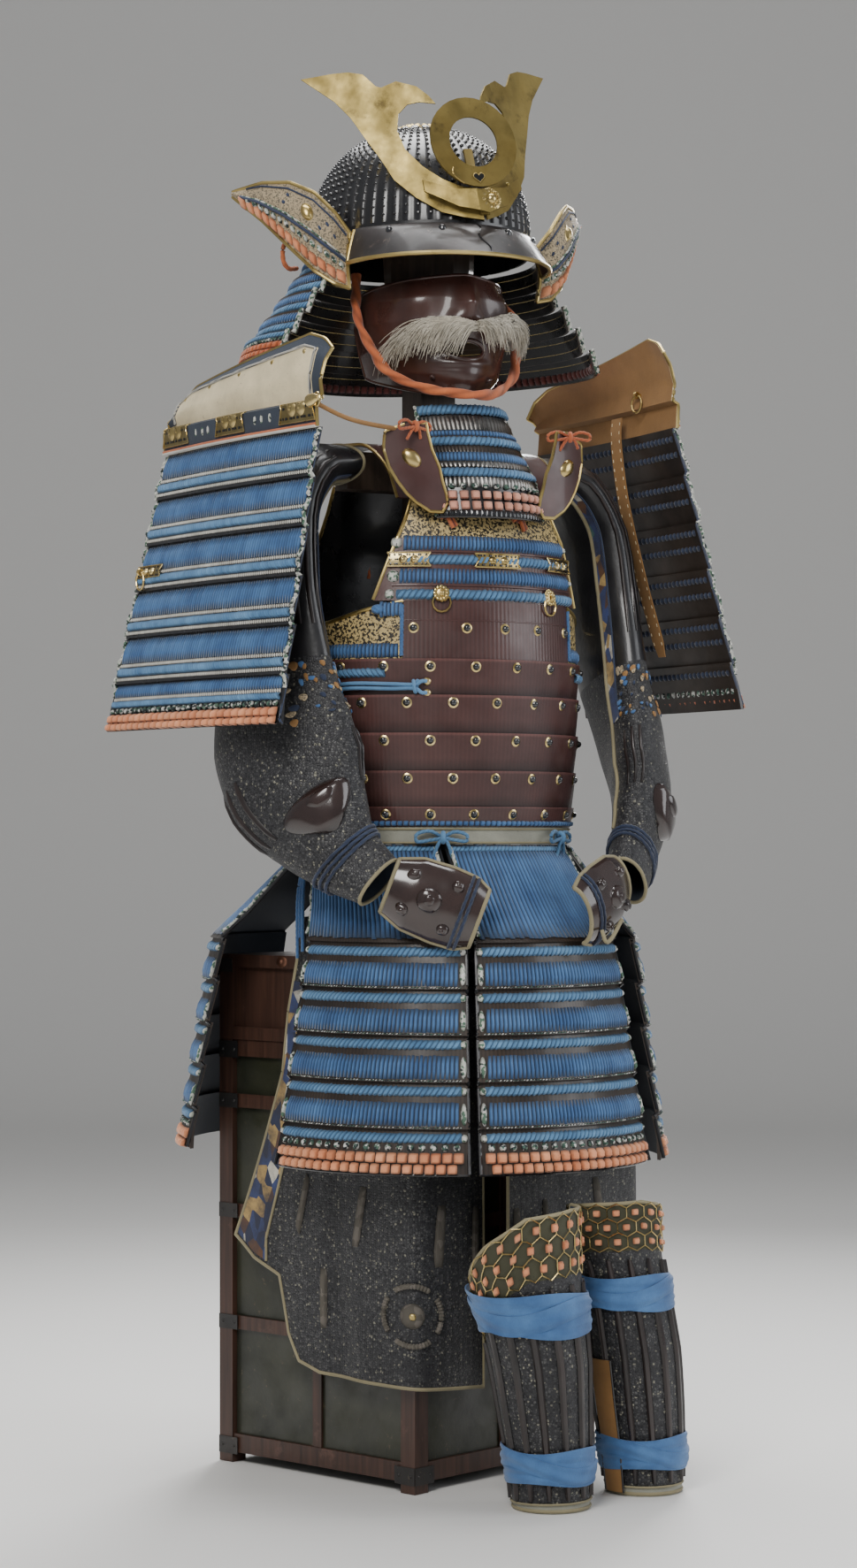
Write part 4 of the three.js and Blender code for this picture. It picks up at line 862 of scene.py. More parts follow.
def make_neck_guard():
    for tier in range(5):
        build = Build()
        top = NECK_TOP - NECK_STEP * tier

        def surface(angle, z, out):
            v = (top - z) / NECK_TALL
            turned = np.where(angle > 180, angle - 360, angle)
            return on_neck(turned, z, 9 - 11 * v + out)

        shell(build, lambda u, v, depth: surface(NECK_START + 226 * u, top - NECK_TALL * v, -depth), 96, 4, 3,
              MOULDED, lining=BLACK)

        def row(drop):
            return Row(surface, NECK_START, NECK_END, top - drop)

        if tier < 4:
            lacing(build, row(7.5), 10, out=0.2, pitch=4.6, rise=2.6, ends=2, lean=0.3)
            braid(build, row(18), 9.5, out=0.3, pitch=5.4, rise=3.6, ends=2)
            dashes(build, row(24.6), out=0.4, tall=2.2, tone=0.5)
        else:
            braid(build, row(4), 7, out=0.3, pitch=5.4, rise=3, ends=2)
            beads(build, row(9), 5, out=0.4, rise=2.6, pitch=6.4)
            knots(build, row(15.6), 8.6, out=0.4, paint=CORAL, rise=3.6)
            knots(build, row(23), 8.6, out=0.4, paint=CORAL, rise=3.6, tall=7.6)
        # Inside: lacquer with thin gilt lines, painted darker (tone 0.6 times 0.8) as shade inside the guard;
        # dark red lacing on the lowest tier.
        for drop in (7, 19):
            band(build, row(drop), 0.9, 0.4, GILT, out=-3.3, n=3, tone=0.6, step=14)
            build.tones[-1] = build.tones[-1] * 0.8
        if tier == 4:
            inside = Row(lambda a, z, o: surface(a, z, -3.2 - o), NECK_START, NECK_END, top - 19)
            knots(build, inside, 9, paint=RED, rise=2.5, tall=10)
        for end in (67.4, 292.6):
            z = np.linspace(top + 1, top - 27, 9)
            line = surface(np.full(9, end), z, 1.5 + 0 * z)
            tube(build, line, 3.4, MIXED, twist=13, lobes=0.4, sides=8)
        build.make(f"neck_guard_fine_{tier + 1}", [f"neck_guard_{tier + 1}"])
    # Coral loop hanging out behind the right turn-back.
    start = np.array([-139, 42, 1432])
    loop = [(0, 0, 0), (-14, -4, 10), (-27, -5, 12), (-36, -6, 2), (-36, -6, -14), (-28, -4, -22),
            (-14, 2, -20)]
    free_cord("helmet_loop", spline([start + np.array(p) for p in loop], 40), 6.2, CORAL, "object", twist=16,
              lobes=0.22, sides=8)


# --------------------------------------- crest
def crest_place(points):
    p = np.asarray(points, float)
    roll, lean = math.radians(-6), math.radians(-12)
    x = p[..., 0] * math.cos(roll) + p[..., 2] * math.sin(roll)
    z = -p[..., 0] * math.sin(roll) + p[..., 2] * math.cos(roll)
    y = p[..., 1]
    y, z = y * math.cos(lean) - z * math.sin(lean), y * math.sin(lean) + z * math.cos(lean)
    return head(np.stack([x, y - 169, z + 1473], -1))


def make_crest_details():
    build = Build()

    def face(a, z, out):
        return crest_place(stack(a, -out - 5.6 + 0 * a, z))

    rosette = Row(face, -40, 40, 0)
    middle = rosette.length / 2 + 6
    dome(build, rosette, middle, 26, 2, GILT, 11, t=-5, floor=0.8, px=2.2, py=2.2, out=3)
    turn = np.linspace(0, 2 * np.pi, 11)[:-1]
    for a in turn:
        dome(build, rosette, middle + 9.5 * math.cos(a), 6.5, 2.4, GILT, t=-5 + 9.5 * math.sin(a), floor=0.7,
             out=4)
    dome(build, rosette, middle, 13, 5.5, GILT, 9, t=-5, floor=0.8, out=4.4)
    # Heart-shaped opening under the disc's hole: a black sheet at tone 0.4, painted shade that stands for the
    # dark seen through the hole, within a thin edge.
    heart = []
    for a in np.linspace(0, 2 * np.pi, 40):
        x = 16 * math.sin(a) ** 3
        z = 13 * math.cos(a) - 5 * math.cos(2 * a) - 2 * math.cos(3 * a) - math.cos(4 * a)
        heart.append((-2 + 0.44 * x, -6.1, 23 + 0.4 * z))
    heart = np.array(heart)
    centre = np.array([-2, -6.1, 22.0])
    fan = np.concatenate([heart, centre + (heart - centre) * 0.02])
    build.add(crest_place(fan), quads(39, 1), BLACK, 0.4)
    tube(build, crest_place(heart), 0.45, RIM, sides=5, up=(0, 1, 0))
    # Tab standing in the disc's hole.
    tab = []
    for x in (-14, -4):
        for y in (-4.4, -1.6):
            for z in (32, 58):
                tab.append((x + (0 if x < -5 else 0.5), y, z))
    tab = crest_place(np.array(tab))
    build.add(tab, [[0, 1, 5, 4], [2, 6, 7, 3], [0, 2, 3, 1], [4, 5, 7, 6], [1, 3, 7, 5], [0, 4, 6, 2]], GILT)
    # Wire loop and pin that hold the plates.
    wire = [(-34, -9, 34), (-38, -13, 27), (-36, -14, 21), (-30, -12, 17), (-24, -9, 15)]
    tube(build, crest_place(spline(wire, 20)), 0.9, RIM, sides=6)
    dome(build, rosette, rosette.length / 2 + 36, 5, 3, BRASS, t=16, out=-6)
    build.make("crest_details")


# --------------------------------------- face mask
MASK_PROFILE = [(1392, -2, 80), (1366, 3, 84), (1340, 5, 85), (1310, 2, 82), (1280, 1, 74), (1254, -8, 58)]


MASK_TOP, MASK_HIGH, MASK_LONG, MASK_Y, MASK_HALF = 1392, 138, 100, -22, 100
MOUTH_WIDE, MOUTH_HIGH, MOUTH_Z = 17.5, 12, 1306


def on_mask(angle, z, out):
    grow, wide = columns(MASK_PROFILE, z)
    return head(ellipse(angle, wide + grow + out, MASK_LONG + grow + out, z, 0, MASK_Y))


def hill(x, middle, width, power=2):
    """A smooth rise of height 1 round a middle."""
    return np.exp(-(((x - middle) / width) ** power))


def mask_face(u, v, depth):
    angle = -MASK_HALF + 2 * MASK_HALF * u
    ends = np.abs(angle) / MASK_HALF
    z = MASK_TOP - MASK_HIGH * v - 13 * np.maximum(0, ends - 0.1) * (1 - v) + 30 * v * ends ** 2
    grow, wide = columns(MASK_PROFILE, z)
    beside = np.abs(angle)
    nose = 22 * hill(angle, 0, 9) * np.clip(1 - np.abs(v - 0.24) / 0.3, 0, 1) ** 0.9
    wings = 6 * hill(beside, 10, 5) * hill(v, 0.37, 0.07)
    cheek = 6 * hill(beside, 40, 14) * hill(v, 0.2, 0.12)
    fold = -2.6 * hill(beside - 27, 12 * v, 3.4) * hill(v, 0.5, 0.18)
    chin = 10 * hill(angle, 0, 22) * hill(v, 0.86, 0.16)
    lip = 4 * hill(angle, 0, 24, 4) * hill(v, 0.735, 0.035)
    more = wings + cheek + fold + lip
    return head(ellipse(angle, wide + grow - depth + more * 0.7, MASK_LONG + grow + nose + chin - depth + more,
                        z, 0, MASK_Y))


def make_mask():
    build = Build()
    across, down = 98, 70
    u, v = np.meshgrid(np.linspace(0, 1, across + 1), np.linspace(0, 1, down + 1))
    angle = -MASK_HALF + 2 * MASK_HALF * u
    z = MASK_TOP - MASK_HIGH * v
    # The open mouth: the grid's cells inside it are left out, and those beside it are drawn to its edge.
    mx, mz = angle / MOUTH_WIDE, (z - MOUTH_Z) / MOUTH_HIGH
    reach = np.hypot(mx, mz)
    near = (reach > 0.72) & (reach < 1.16)
    pull = np.where(near, 1 / np.maximum(reach, 0.01), 1)
    su = np.where(near, (mx * pull * MOUTH_WIDE + MASK_HALF) / (2 * MASK_HALF), u)
    sv = np.where(near, (MASK_TOP - (mz * pull * MOUTH_HIGH + MOUTH_Z)) / MASK_HIGH, v)
    faces = quads(across, down)
    centre = reach.ravel()[faces].mean(1)
    keep = faces[centre > 0.93]
    # The inner face is painted in shade, at tone 0.5.
    for depth, turned, tone in ((0.0, False, 1.0), (3.0, True, 0.5)):
        points = mask_face(su, sv, depth).reshape(-1, 3)
        side = outward(keep, points, head(np.array([0, MASK_Y, 1320.0])))
        build.add(points, side[:, ::-1] if turned else side, FACE, tone)
    turn = np.linspace(0, 2 * np.pi, 60)
    mouth = mask_face((MOUTH_WIDE * np.cos(turn) + MASK_HALF) / (2 * MASK_HALF),
                      (MASK_TOP - (MOUTH_HIGH * np.sin(turn) + MOUTH_Z)) / MASK_HIGH, 1.0)
    tube(build, mouth, 2.4 + 0.9 * np.abs(np.sin(turn)), FACE, sides=8, up=(0, 1, 0.2))
    line = np.linspace(0, 1, 90)
    trace(build, mask_face, line, 0, 1.0, 2.2, FACE, sides=8)
    trace(build, mask_face, line, 1, 1.0, 2.2, FACE, sides=8)
    for end in (0.0, 1.0):
        trace(build, mask_face, end, line[::3], 1.0, 2.2, FACE, sides=7)
    for side in (-1, 1):
        peg = Row(lambda a, z, o: mask_face(a, (MASK_TOP - z) / MASK_HIGH, -o), 0.5 + side * 0.14,
                  0.5 + side * 0.2, 1272)
        dome(build, peg, 4, 7, 6, FACE, 7, floor=0.8)
    build.dress("mask", sharp=70)


MOUSTACHE = [(-56, 1304, 5), (-44, 1316, 11), (-28, 1330, 15), (-10, 1334, 10), (0, 1330, 8), (12, 1334, 11),
             (30, 1338, 19), (46, 1332, 17), (57, 1318, 8)]


def make_moustache():
    build = Build()
    angle = np.linspace(-54, 56, 60)
    z, radius = columns(MOUSTACHE, angle)
    out = radius * 0.62 + 2 + 12 * np.exp(-((angle / 14) ** 2))
    # The core under the loose hairs is painted darker (tone 0.75) as shade among the hair.
    trace(build, on_mask, angle, z, out, radius * 0.7, HAIR, sides=10, flat=0.6, tone=0.75)
    count = 1240
    start = np.concatenate([rng.uniform(-50, 52, count // 2), rng.uniform(-30, 50, count // 2)])
    side = np.where(start < 2, -1, 1)
    base_z, radius = columns(MOUSTACHE, start)
    lift = rng.uniform(-0.9, 0.9, count)
    long = rng.uniform(10, 31, count) * np.where(side < 0, 1.3, 0.75)
    steps = np.linspace(0, 1, 6)[None, :]
    a = start[:, None] + side[:, None] * long[:, None] * steps * 0.62
    fall = (3 + 21 * rng.uniform(0, 1, (count, 1)) ** 1.4 + 11 * (side < 0)[:, None]) * steps ** 1.7
    zz = base_z[:, None] + lift[:, None] * radius[:, None] * 0.8 + 2.5 * np.sin(np.pi * steps) - fall
    depth = np.sqrt(np.clip(1 - lift ** 2, 0.05, 1))[:, None]
    out = (2 + radius[:, None] * (0.6 + 0.62 * depth) + 12 * np.exp(-((a / 14) ** 2))
           + rng.uniform(-1, 5.5, (count, 1)) * steps)
    line = on_mask(a, np.clip(zz, 1270, 1360), out)
    thick = 0.75 * (1.1 - steps[..., None] * 0.85)
    along = unit(np.gradient(line, axis=1), 1e-9)
    p = unit(np.cross(along, np.array([0.2, -1, 0.3])), 1e-9)
    q = np.cross(along, p)
    turn = [0, 2 * np.pi / 3, 4 * np.pi / 3]
    ring = np.stack([line + thick * (math.cos(t) * p + math.sin(t) * q) for t in turn], 2)
    one = quads(3, 5, True)
    faces = (one[None] + (np.arange(count) * 18)[:, None, None]).reshape(-1, 4)
    tone = np.repeat(rng.uniform(0.62, 1.15, count), 18)
    build.add(ring.reshape(-1, 3), faces, HAIR, tone)
    build.dress("moustache", sharp=180)


CHIN_CORD = [(-96, 1404, 12), (-92, 1384, 12), (-82, 1358, 14), (-76, 1334, 14), (-68, 1306, 15),
             (-58, 1280, 18), (-40, 1262, 22), (-18, 1254, 28), (4, 1252, 30), (24, 1256, 25), (42, 1266, 20),
             (58, 1284, 17), (68, 1308, 15), (76, 1336, 14), (82, 1360, 14), (92, 1384, 12), (96, 1404, 12)]


def make_chin_cord():
    points = [on_mask(np.array(a), np.array(z), np.array(out)) for a, z, out in CHIN_CORD]
    line = spline(points, 260)
    swell = 6.1 + 0.9 * np.sin(np.linspace(0, 31, 260)) * np.sin(np.linspace(0, 7, 260))
    free_cord("chin_cord_fine", line, swell * 2, CORAL, "object", replaces=["chin_cord"], sides=16, twist=74,
              lobes=0.34, tone=1.1)


make_bowl()
make_visor()
make_turnback(-1, "turnback_right")
make_turnback(1, "turnback_left")
make_neck_guard()
make_crest_details()
make_mask()
make_moustache()
make_chin_cord()


# --------------------------------------- throat guard
THROAT_TOP, THROAT_HIGH = 1243, 135
THROAT_FORM = [(1243, -22, 65, 93, 60), (1190, -42, 78, 100, 54), (1155, -62, 88, 100, 50),
               (1108, -72, 95, 100, 47)]


def on_throat(a, z, out):
    """a runs from -1 to 1 across the guard."""
    y, wide, long, spread = columns(THROAT_FORM, z)
    return ellipse(a * spread, wide + out, long + out, z, 0, y)


def make_throat_guard():
    build = Build()

    def point(u, v, depth):
        z = THROAT_TOP - THROAT_HIGH * v
        step = (v * 5) % 1
        return on_throat(2 * u - 1, z, 2.6 * smooth(step, 0, 0.9) - depth)

    ribs = 44
    rows = np.sort(np.concatenate([np.linspace(0, 1, 16), [0.201, 0.401, 0.601, 0.801]]))
    shell(build, point, ribs * 2, 1, 4, BLACK, lining=BLACK, rows=rows)

    def row(z, end=0.97):
        return Row(on_throat, -end, end, z)

    for z in (1237.5, 1199, 1161):
        braid(build, row(z), 13 if z > 1230 else 11.5, out=2.6, pitch=5.6, rise=4)
    lacing(build, row(1208.5, 0.95), 7, out=2.6, pitch=4.2)
    lacing(build, row(1180, 0.92), 11, out=2.8, pitch=4.2, lean=0.35)
    for z, tall in ((1221, 17), (1171, 7), (1149, 12)):
        pads(build, row(z), 5.2, tall, 1.6, SILVER, out=2.6, px=2.6, py=12, square=1.0, n=(5, 3), floor=0.4,
             loose=0)
    for z, tall in ((1189.5, 8), (1204, 4)):
        pads(build, row(z), 4.2, tall, 1.2, MOULDED, out=2.4, px=2.6, py=12, square=1.0, n=(5, 3), loose=0)
    beads(build, row(1144.5), 7.4, out=3, rise=3.6, pitch=12.5)
    knots(build, row(1134), 10.4, out=2.8, paint=PINK, pitch=12.6)
    knots(build, row(1122), 10.4, out=3.2, paint=PINK, pitch=12.6)
    pads(build, row(1113), 6.2, 7, 1.4, STEEL, out=3, px=2.6, py=8, square=1.0, n=(5, 3), loose=0)
    trace(build, on_throat, np.linspace(-1, 1, 50), 1109, 1.0, 1.7, BLACK)
    for end in (-1, 1):
        z = np.linspace(THROAT_TOP, 1110, 40)
        trace(build, on_throat, end, z, 2.4, 2.7, MIXED, twist=12, lobes=0.4, sides=8)
    build.dress("throat_guard")


# --------------------------------------- cuirass
TRUNK = [(736, 160, 136), (776, 164, 140), (860, 169, 145), (946, 171, 147), (1013, 168, 145), (1085, 160, 136),
         (1130, 150, 120), (1180, 142, 108)]
HEM_TOP, HEM_HIGH = 755.7, 19.4
LAMES = [(947, 902), (906, 859), (863, 816), (820, 775), (779, 756)]


def on_trunk(angle, z, out):
    wide, long = columns(TRUNK, z)
    return ellipse(angle, wide + out, long + out, z, 0, -20)


def rib(angle, count):
    """0 between ribs, 1 on them, round the trunk."""
    return np.abs(np.cos(np.radians(angle) * count / 2)) ** 0.45


def trunk_wall(build, paint, edges, top, bottom, out=0.0, ribs=0, across=90, down=12):
    low, high = np.array(edges, float)[:, 1:].min(), np.array(edges, float)[:, 1:].max()

    def place(u, v):
        high_z = np.interp(u, *zip(*top)) if isinstance(top, list) else top
        z = high_z + (bottom - high_z) * v
        start, end = columns(edges, z)
        return start + (end - start) * u, z

    def point(u, v, depth):
        angle, z = place(u, v)
        more = 0.5 * rib(angle, ribs) if ribs and depth == 0 else 0
        return on_trunk(angle, z, out + more - depth)

    # Painted light and shade: the ribs lighter, the hollows between them darker.
    def tone(u, v):
        return 0.5 + 0.62 * rib(place(u, v)[0], ribs)

    across = int(abs(high - low) / 360 * ribs * 4) if ribs else across
    shell(build, point, across, down, 2.4, paint, lining=BLACK, tone=tone if ribs else None)


def edge_rim(build, surface, points, out=0.4):
    """A rim laid along (a, z) points of a surface."""
    line = spline([(a, 0, z) for a, z in points], 40)
    trace(build, surface, line[:, 0], line[:, 2], out, 2.2, RIM, sides=8)


def make_chest():
    build = Build()
    trunk_wall(build, GOLD_LEATHER, [(1130, -37, 37), (1085, -43, 43)], 1130, 1085.3, out=1)
    for side in (-1, 1):
        edge_rim(build, on_trunk, [(side * 37, 1130), (side * 39.5, 1108), (side * 43, 1086)], out=1.2)
    edge_rim(build, on_trunk, [(-37, 1130), (-18, 1129), (0, 1128), (18, 1129), (37, 1130)], out=0.6)
    for angle in (-17, 17):
        row = Row(on_trunk, angle - 8, angle + 8, 1103)
        for k in range(3):
            start = row.at(np.array(2.0 + k * 5), 5, 2.0)
            end = row.at(np.array(20.0 - k * 2), -4 - k, 2.0)
            middle = row.at(np.array(11.0), 10 - k * 3, 5.5)
            tube(build, spline([start, middle, end], 16), 2.5, RED if k == 1 else CORAL, sides=7, tone=0.8)
    build.dress("chest_plate")

    build = Build()
    trunk_wall(build, RUSSET, [(1086, -43, 43), (1013, -53, 53)], 1085, 1013, out=1, ribs=200)
    narrow = Row(on_trunk, -40.5, 41, 1079)
    lacing(build, narrow, 17, out=1.4, pitch=4.7, rise=3.2)
    band(build, Row(on_trunk, -43, 43, 1069), 3.4, 1.6, RUSSET, out=1.2)
    braid(build, Row(on_trunk, -42, 43, 1060), 12.5, out=1.4, pitch=6.2, rise=4.4)
    lacing(build, Row(on_trunk, -42, 44, 1041), 17, out=1.4, pitch=4.7, rise=3.2)
    band(build, Row(on_trunk, -45, 45, 1030.5), 3.4, 1.6, RUSSET, out=1.2)
    braid(build, Row(on_trunk, -43, 45, 1020), 12.5, out=1.4, pitch=6.6, rise=4.6)
    for z, end, size in ((1079, -43.5, 13), (1041, -44.6, 14), (1020, -46, 11), (1079, 42.6, 8), (1041, 46, 8)):
        row = Row(on_trunk, end - 5, end + 5, z)
        beads(build, row, size, out=1.6, paint=MIXED, rise=4, at=[row.length / 2])
    for start, end in ((-47, -29), (-11, 9.5), (25.5, 46)):
        fitting(build, Row(on_trunk, start, end, 1060), 15.5, out=4.4)
    for side in (-1, 1):
        edge_rim(build, on_trunk, [(side * 43, 1086), (side * 46.5, 1062), (side * 53, 1014)], out=1.2)
        # Rosette behind each ring's stud.
        row = Row(on_trunk, side * 25 - 8, side * 25 + 8, 1021)
        middle = row.length / 2
        for a in np.linspace(0, 2 * np.pi, 13)[:-1]:
            at = [middle + 7 * math.cos(a)]
            dome(build, row, at, 6, 2.6, GILT, t=7 * math.sin(a), out=5, floor=0.7)
        dome(build, row, middle, 15, 2.5, GILT, 9, out=4.6, floor=0.8)
    # Stud with its eye, round the ring's wire as in the frame.
    for side in (-1, 1):
        at = on_trunk(np.array(side * 25.0), np.array(1021.0), np.array(0.0))
        facing = math.radians(side * 21.5)
        ahead = np.array([math.sin(facing), -math.cos(facing), 0])
        wire_eye(build, at + ahead * (9 - 3.6), np.array([math.cos(facing), math.sin(facing), 0]), ahead)
    # Blue tuft tied at the chest's lower right corner.
    row = Row(on_trunk, -55, -37, 1003)
    pads(build, row, 4.6, 17, 4, BLUE, out=2.4, n=(5, 7), py=3, px=2, loose=0.12, square=0.8,
         at=np.linspace(16, 38, 6))
    dome(build, row, 12.0, 12, 7, BLUE, 9, out=2.6, wide=16, ridges=8, px=2.4, py=2.4)
    build.dress("chest_front")


def fitting(build, row, tall, out):
    """Gilt openwork plate with swallow-tail ends, scroll holes and two domed flowers."""
    length = row.length
    band(build, row, tall * 0.98, 0.9, GILT, out=out, n=4, power=20, tone=0.62, start=2, end=length - 2, step=4)
    for t in (-tall / 2, tall / 2):
        tube(build, row.at(np.linspace(0, length, 16), t + np.zeros(16), out + 0.6 + np.zeros(16)), 0.8, GILT,
             sides=5)
    for end, inner in ((0.0, 5.0), (length, length - 5.0)):
        line = [(end, -tall / 2), (inner, 0), (end, tall / 2)]
        s = np.interp(np.linspace(0, 2, 13), [0, 1, 2], [p[0] for p in line])
        t = np.interp(np.linspace(0, 2, 13), [0, 1, 2], [p[1] for p in line])
        tube(build, row.at(s, t, out + 0.7), 0.8, GILT, sides=5)
    holes_s, holes_t = np.meshgrid(np.arange(4, length - 3, 4.3), np.array([-0.34, 0.0, 0.34]) * tall)
    for k, (s, t) in enumerate(zip(holes_s.ravel(), holes_t.ravel())):
        shift = 1.4 * math.sin(k * 2.4)
        dome(build, row, min(max(s + shift, 3), length - 3), 2.6, 0.25, BLACK, 4, t=t, wide=2.4, out=out + 0.9,
             floor=0.3)
    for at in (0.37, 0.63):
        dome(build, row, length * at, tall * 0.62, 3.4, GILT, 7, out=out + 0.9, floor=0.7)
        dome(build, row, length * at, tall * 0.24, 1.6, GILT, out=out + 3.9)


def make_cuirass():
    build = Build()
    trunk_wall(build, RUSSET, [(1013, -40, 40), (947, -40, 40)], 1012.7, 947.3, out=1.2, ribs=200)
    row = Row(on_trunk, -40, 40, 982)
    rivets(build, row, [(a + 40) / 80 * row.length for a in (-36, -15, 1.5, 18, 37)], out=1.8, size=8.6)
    band(build, Row(on_trunk, -40, 40, 990.5), 2.2, 1.0, RUSSET, out=1.2, tone=1.1)
    for side in (-1, 1):
        z = np.linspace(1008, 950, 30)
        trace(build, on_trunk, side * 40.6, z, 2.2, 2.6, BLUE, twist=11, lobes=0.35)
    build.dress("front_lame")

    for side, name in ((-1, "side_right"), (1, "side_left")):
        build = Build()
        edges = [(1040, side * 49.3, side * 131.6), (1016, side * 47.3, side * 131.6),
                 (1012, side * 40.3, side * 131.6), (900, side * 40.3, side * 131.6)]
        top = [(0, 1012.4), (0.18, 1003), (0.4, 990), (0.6, 988), (0.8, 996), (1, 1012)]
        trunk_wall(build, GOLD_LEATHER, edges, top, 947.3, across=60)
        lacing(build, Row(on_trunk, side * 42, side * 130, 956.5), 16, out=0.6, pitch=4.7, rise=3.2)
        line = [(side * (40.3 + 91.3 * u), z) for u, z in top]
        edge_rim(build, on_trunk, line, out=0.2)
        build.dress(name)

    build = Build()
    edges = [(1170, 142, 218), (1100, 138, 222), (1010, 132, 228), (900, 132, 228)]
    trunk_wall(build, GOLD_LEATHER, edges, [(0, 1160), (0.5, 1172), (1, 1160)], 947.3, across=60, down=30)
    for k, z in enumerate((1140, 1110, 1080, 1050, 1020, 990)):
        start, end = columns(edges, z)
        row = Row(on_trunk, float(start) + 3, float(end) - 3, z)
        lacing(build, row, 14, out=0.4, pitch=4.7, rise=3.0)
        braid(build, Row(on_trunk, float(start) + 3, float(end) - 3, z - 14), 9, out=0.4, pitch=5.6, rise=3.6)
    lacing(build, Row(on_trunk, 133, 227, 957), 16, out=0.6, pitch=4.7, rise=3.2)
    for pick in (1, 2):
        edge_rim(build, on_trunk, [(row[pick], row[0]) for row in [(1160, 142, 218), *edges[1:3],
                                                                   (948, 132, 228)]])
    edge_rim(build, on_trunk, [(142, 1160), (160, 1167), (180, 1172), (200, 1167), (218, 1160)])
    # Bow and ring of the back, where a standard would be tied.
    row = Row(on_trunk, 168, 192, 1128)
    dome(build, row, row.length / 2, 22, 3, GILT, 9, out=4, floor=0.8)
    dome(build, row, row.length / 2, 14, 6, GILT, 9, out=6, floor=0.8)
    for side in (-1, 1):
        centre = row.at(np.array(row.length / 2), -12, 9.0)
        loop = [centre + np.array(p) for p in ((0, 0, 0), (side * 16, 4, 9), (side * 30, 4, 3),
                                               (side * 24, 4, -9), (0, 5, -6), (side * -14, 4, -24),
                                               (side * -17, 3, -58))]
        free_cord("back_cord_left" if side > 0 else "back_cord_right", spline(loop, 60), 6, CORAL, sides=8,
                  twist=18, lobes=0.25)
    build.dress("back_plate")

    for k, (top, bottom) in enumerate(LAMES):
        build = Build()
        ribs = 200
        high = top - bottom

        def surface(angle, z, out):
            return on_trunk(angle, z, 3.4 - 3.1 * np.clip((top - z) / high, 0, 1) + out)

        def point(u, v, depth):
            more = 0.5 * rib(360 * u, ribs) if depth == 0 else 0
            return surface(360 * u, top - high * v, more - depth)

        rows = [0, 0.035, 0.08, 0.6, 0.9, 1]
        # Painted light on each lame: a bright line along its top edge, painted shade towards its lower edge,
        # and the ribs lighter than the hollows between them.
        shell(build, point, 600, 7, 2.2, RUSSET, ring=True, lining=BLACK, rows=rows,
              tone=lambda u, v: ((0.5 + 0.62 * rib(360 * u, ribs))
                                 * (1 + 0.9 * (v < 0.05) - 0.6 * smooth(v, 0.6, 0.9))))
        start = -35.5 if k % 2 else -26
        row = Row(surface, -180, 180, top - min(9, high * 0.42))
        angles = start + np.arange(19) * 360 / 19 - 5
        rivets(build, row, [(((a + 180) % 360) / 360) * row.length for a in angles], out=0.6, size=8.6)
        if k == 0:
            for side in (-1, 1):
                braid(build, Row(surface, side * 47, side * 131, 931), 11, out=0.6, pitch=6, rise=4.4)
        if k == 4:
            knots(build, Row(surface, -180, 180, 760), 6.5, out=0.4, paint=BLUE, rise=3.4, tall=6)
        build.make(f"cuirass_lame_fine_{k + 1}", [f"cuirass_lame_{k + 1}"])

    build = Build()
    shell(build, lambda u, v, depth: on_trunk(360 * u, HEM_TOP - HEM_HIGH * v, 0.4 - depth), 120, 3, 2.4, PALE,
          ring=True)
    for z in (753.6, 738):
        trace(build, on_trunk, np.linspace(0, 360, 121), z, 0.8, 1.3, OLIVE, sides=6)
    build.dress("hem_band")


STRAP = [(86, -109, 1131), (92, -96, 1166), (96, -60, 1192), (97, -20, 1198), (96, 24, 1199), (92, 58, 1193),
         (84, 76, 1178)]
PAD_EDGES = [(0, -0.1, 0.16), (0.1, -0.46, 0.18), (0.3, -0.48, 0.25), (0.5, -0.4, 0.37), (0.66, -0.28, 0.42),
             (0.8, -0.14, 0.48), (0.9, 0, 0.5), (1, 0.22, 0.42)]


def bow(name, centre, across, size, paint, ends=1.0):
    """A tied bow: two cords that each leave the knot in a loop, pass back through it and hang down."""
    centre, across = np.asarray(centre, float), unit(across)
    down = np.array([0, 0, -1.0])
    out = np.cross(across, down)
    if out[1] * np.sign(-centre[1]) < 0:
        out = -out
    out = -out if (out * (centre - np.array([0, -20, centre[2]]))).sum() < 0 else out
    for k, side in enumerate((-1, 1)):
        wide = size * (1 - 0.12 * k)
        path = [centre, centre + across * side * wide * 0.5 - down * wide * 0.24 + out * 3,
                centre + across * side * wide - down * wide * 0.12 + out * 4,
                centre + across * side * wide * 0.98 + down * wide * 0.16 + out * 4,
                centre + across * side * wide * 0.45 + down * wide * 0.1 + out * 4,
                centre + out * 5 + down * wide * 0.05,
                centre - across * side * size * 0.22 + down * size * 0.3 * ends + out * 4,
                centre - across * side * size * (0.38 + 0.1 * k) + down * size * (0.85 + 0.15 * k) * ends
                + out * 2]
        free_cord(f"{name}_cord_{k + 1}", spline(path, 70), size * 0.15, paint, twist=11, lobes=0.2, sides=8)
    knot = centre + out * 3
    build = Build()
    ring = [knot + size * 0.14 * (math.cos(t) * down * 1.2 + math.sin(t) * out) for t in np.linspace(0, 5.6,
                                                                                                     14)]
    tube(build, ring, size * 0.1, paint, sides=8, up=across)
    build.make(f"{name}_knot", sharp=60)


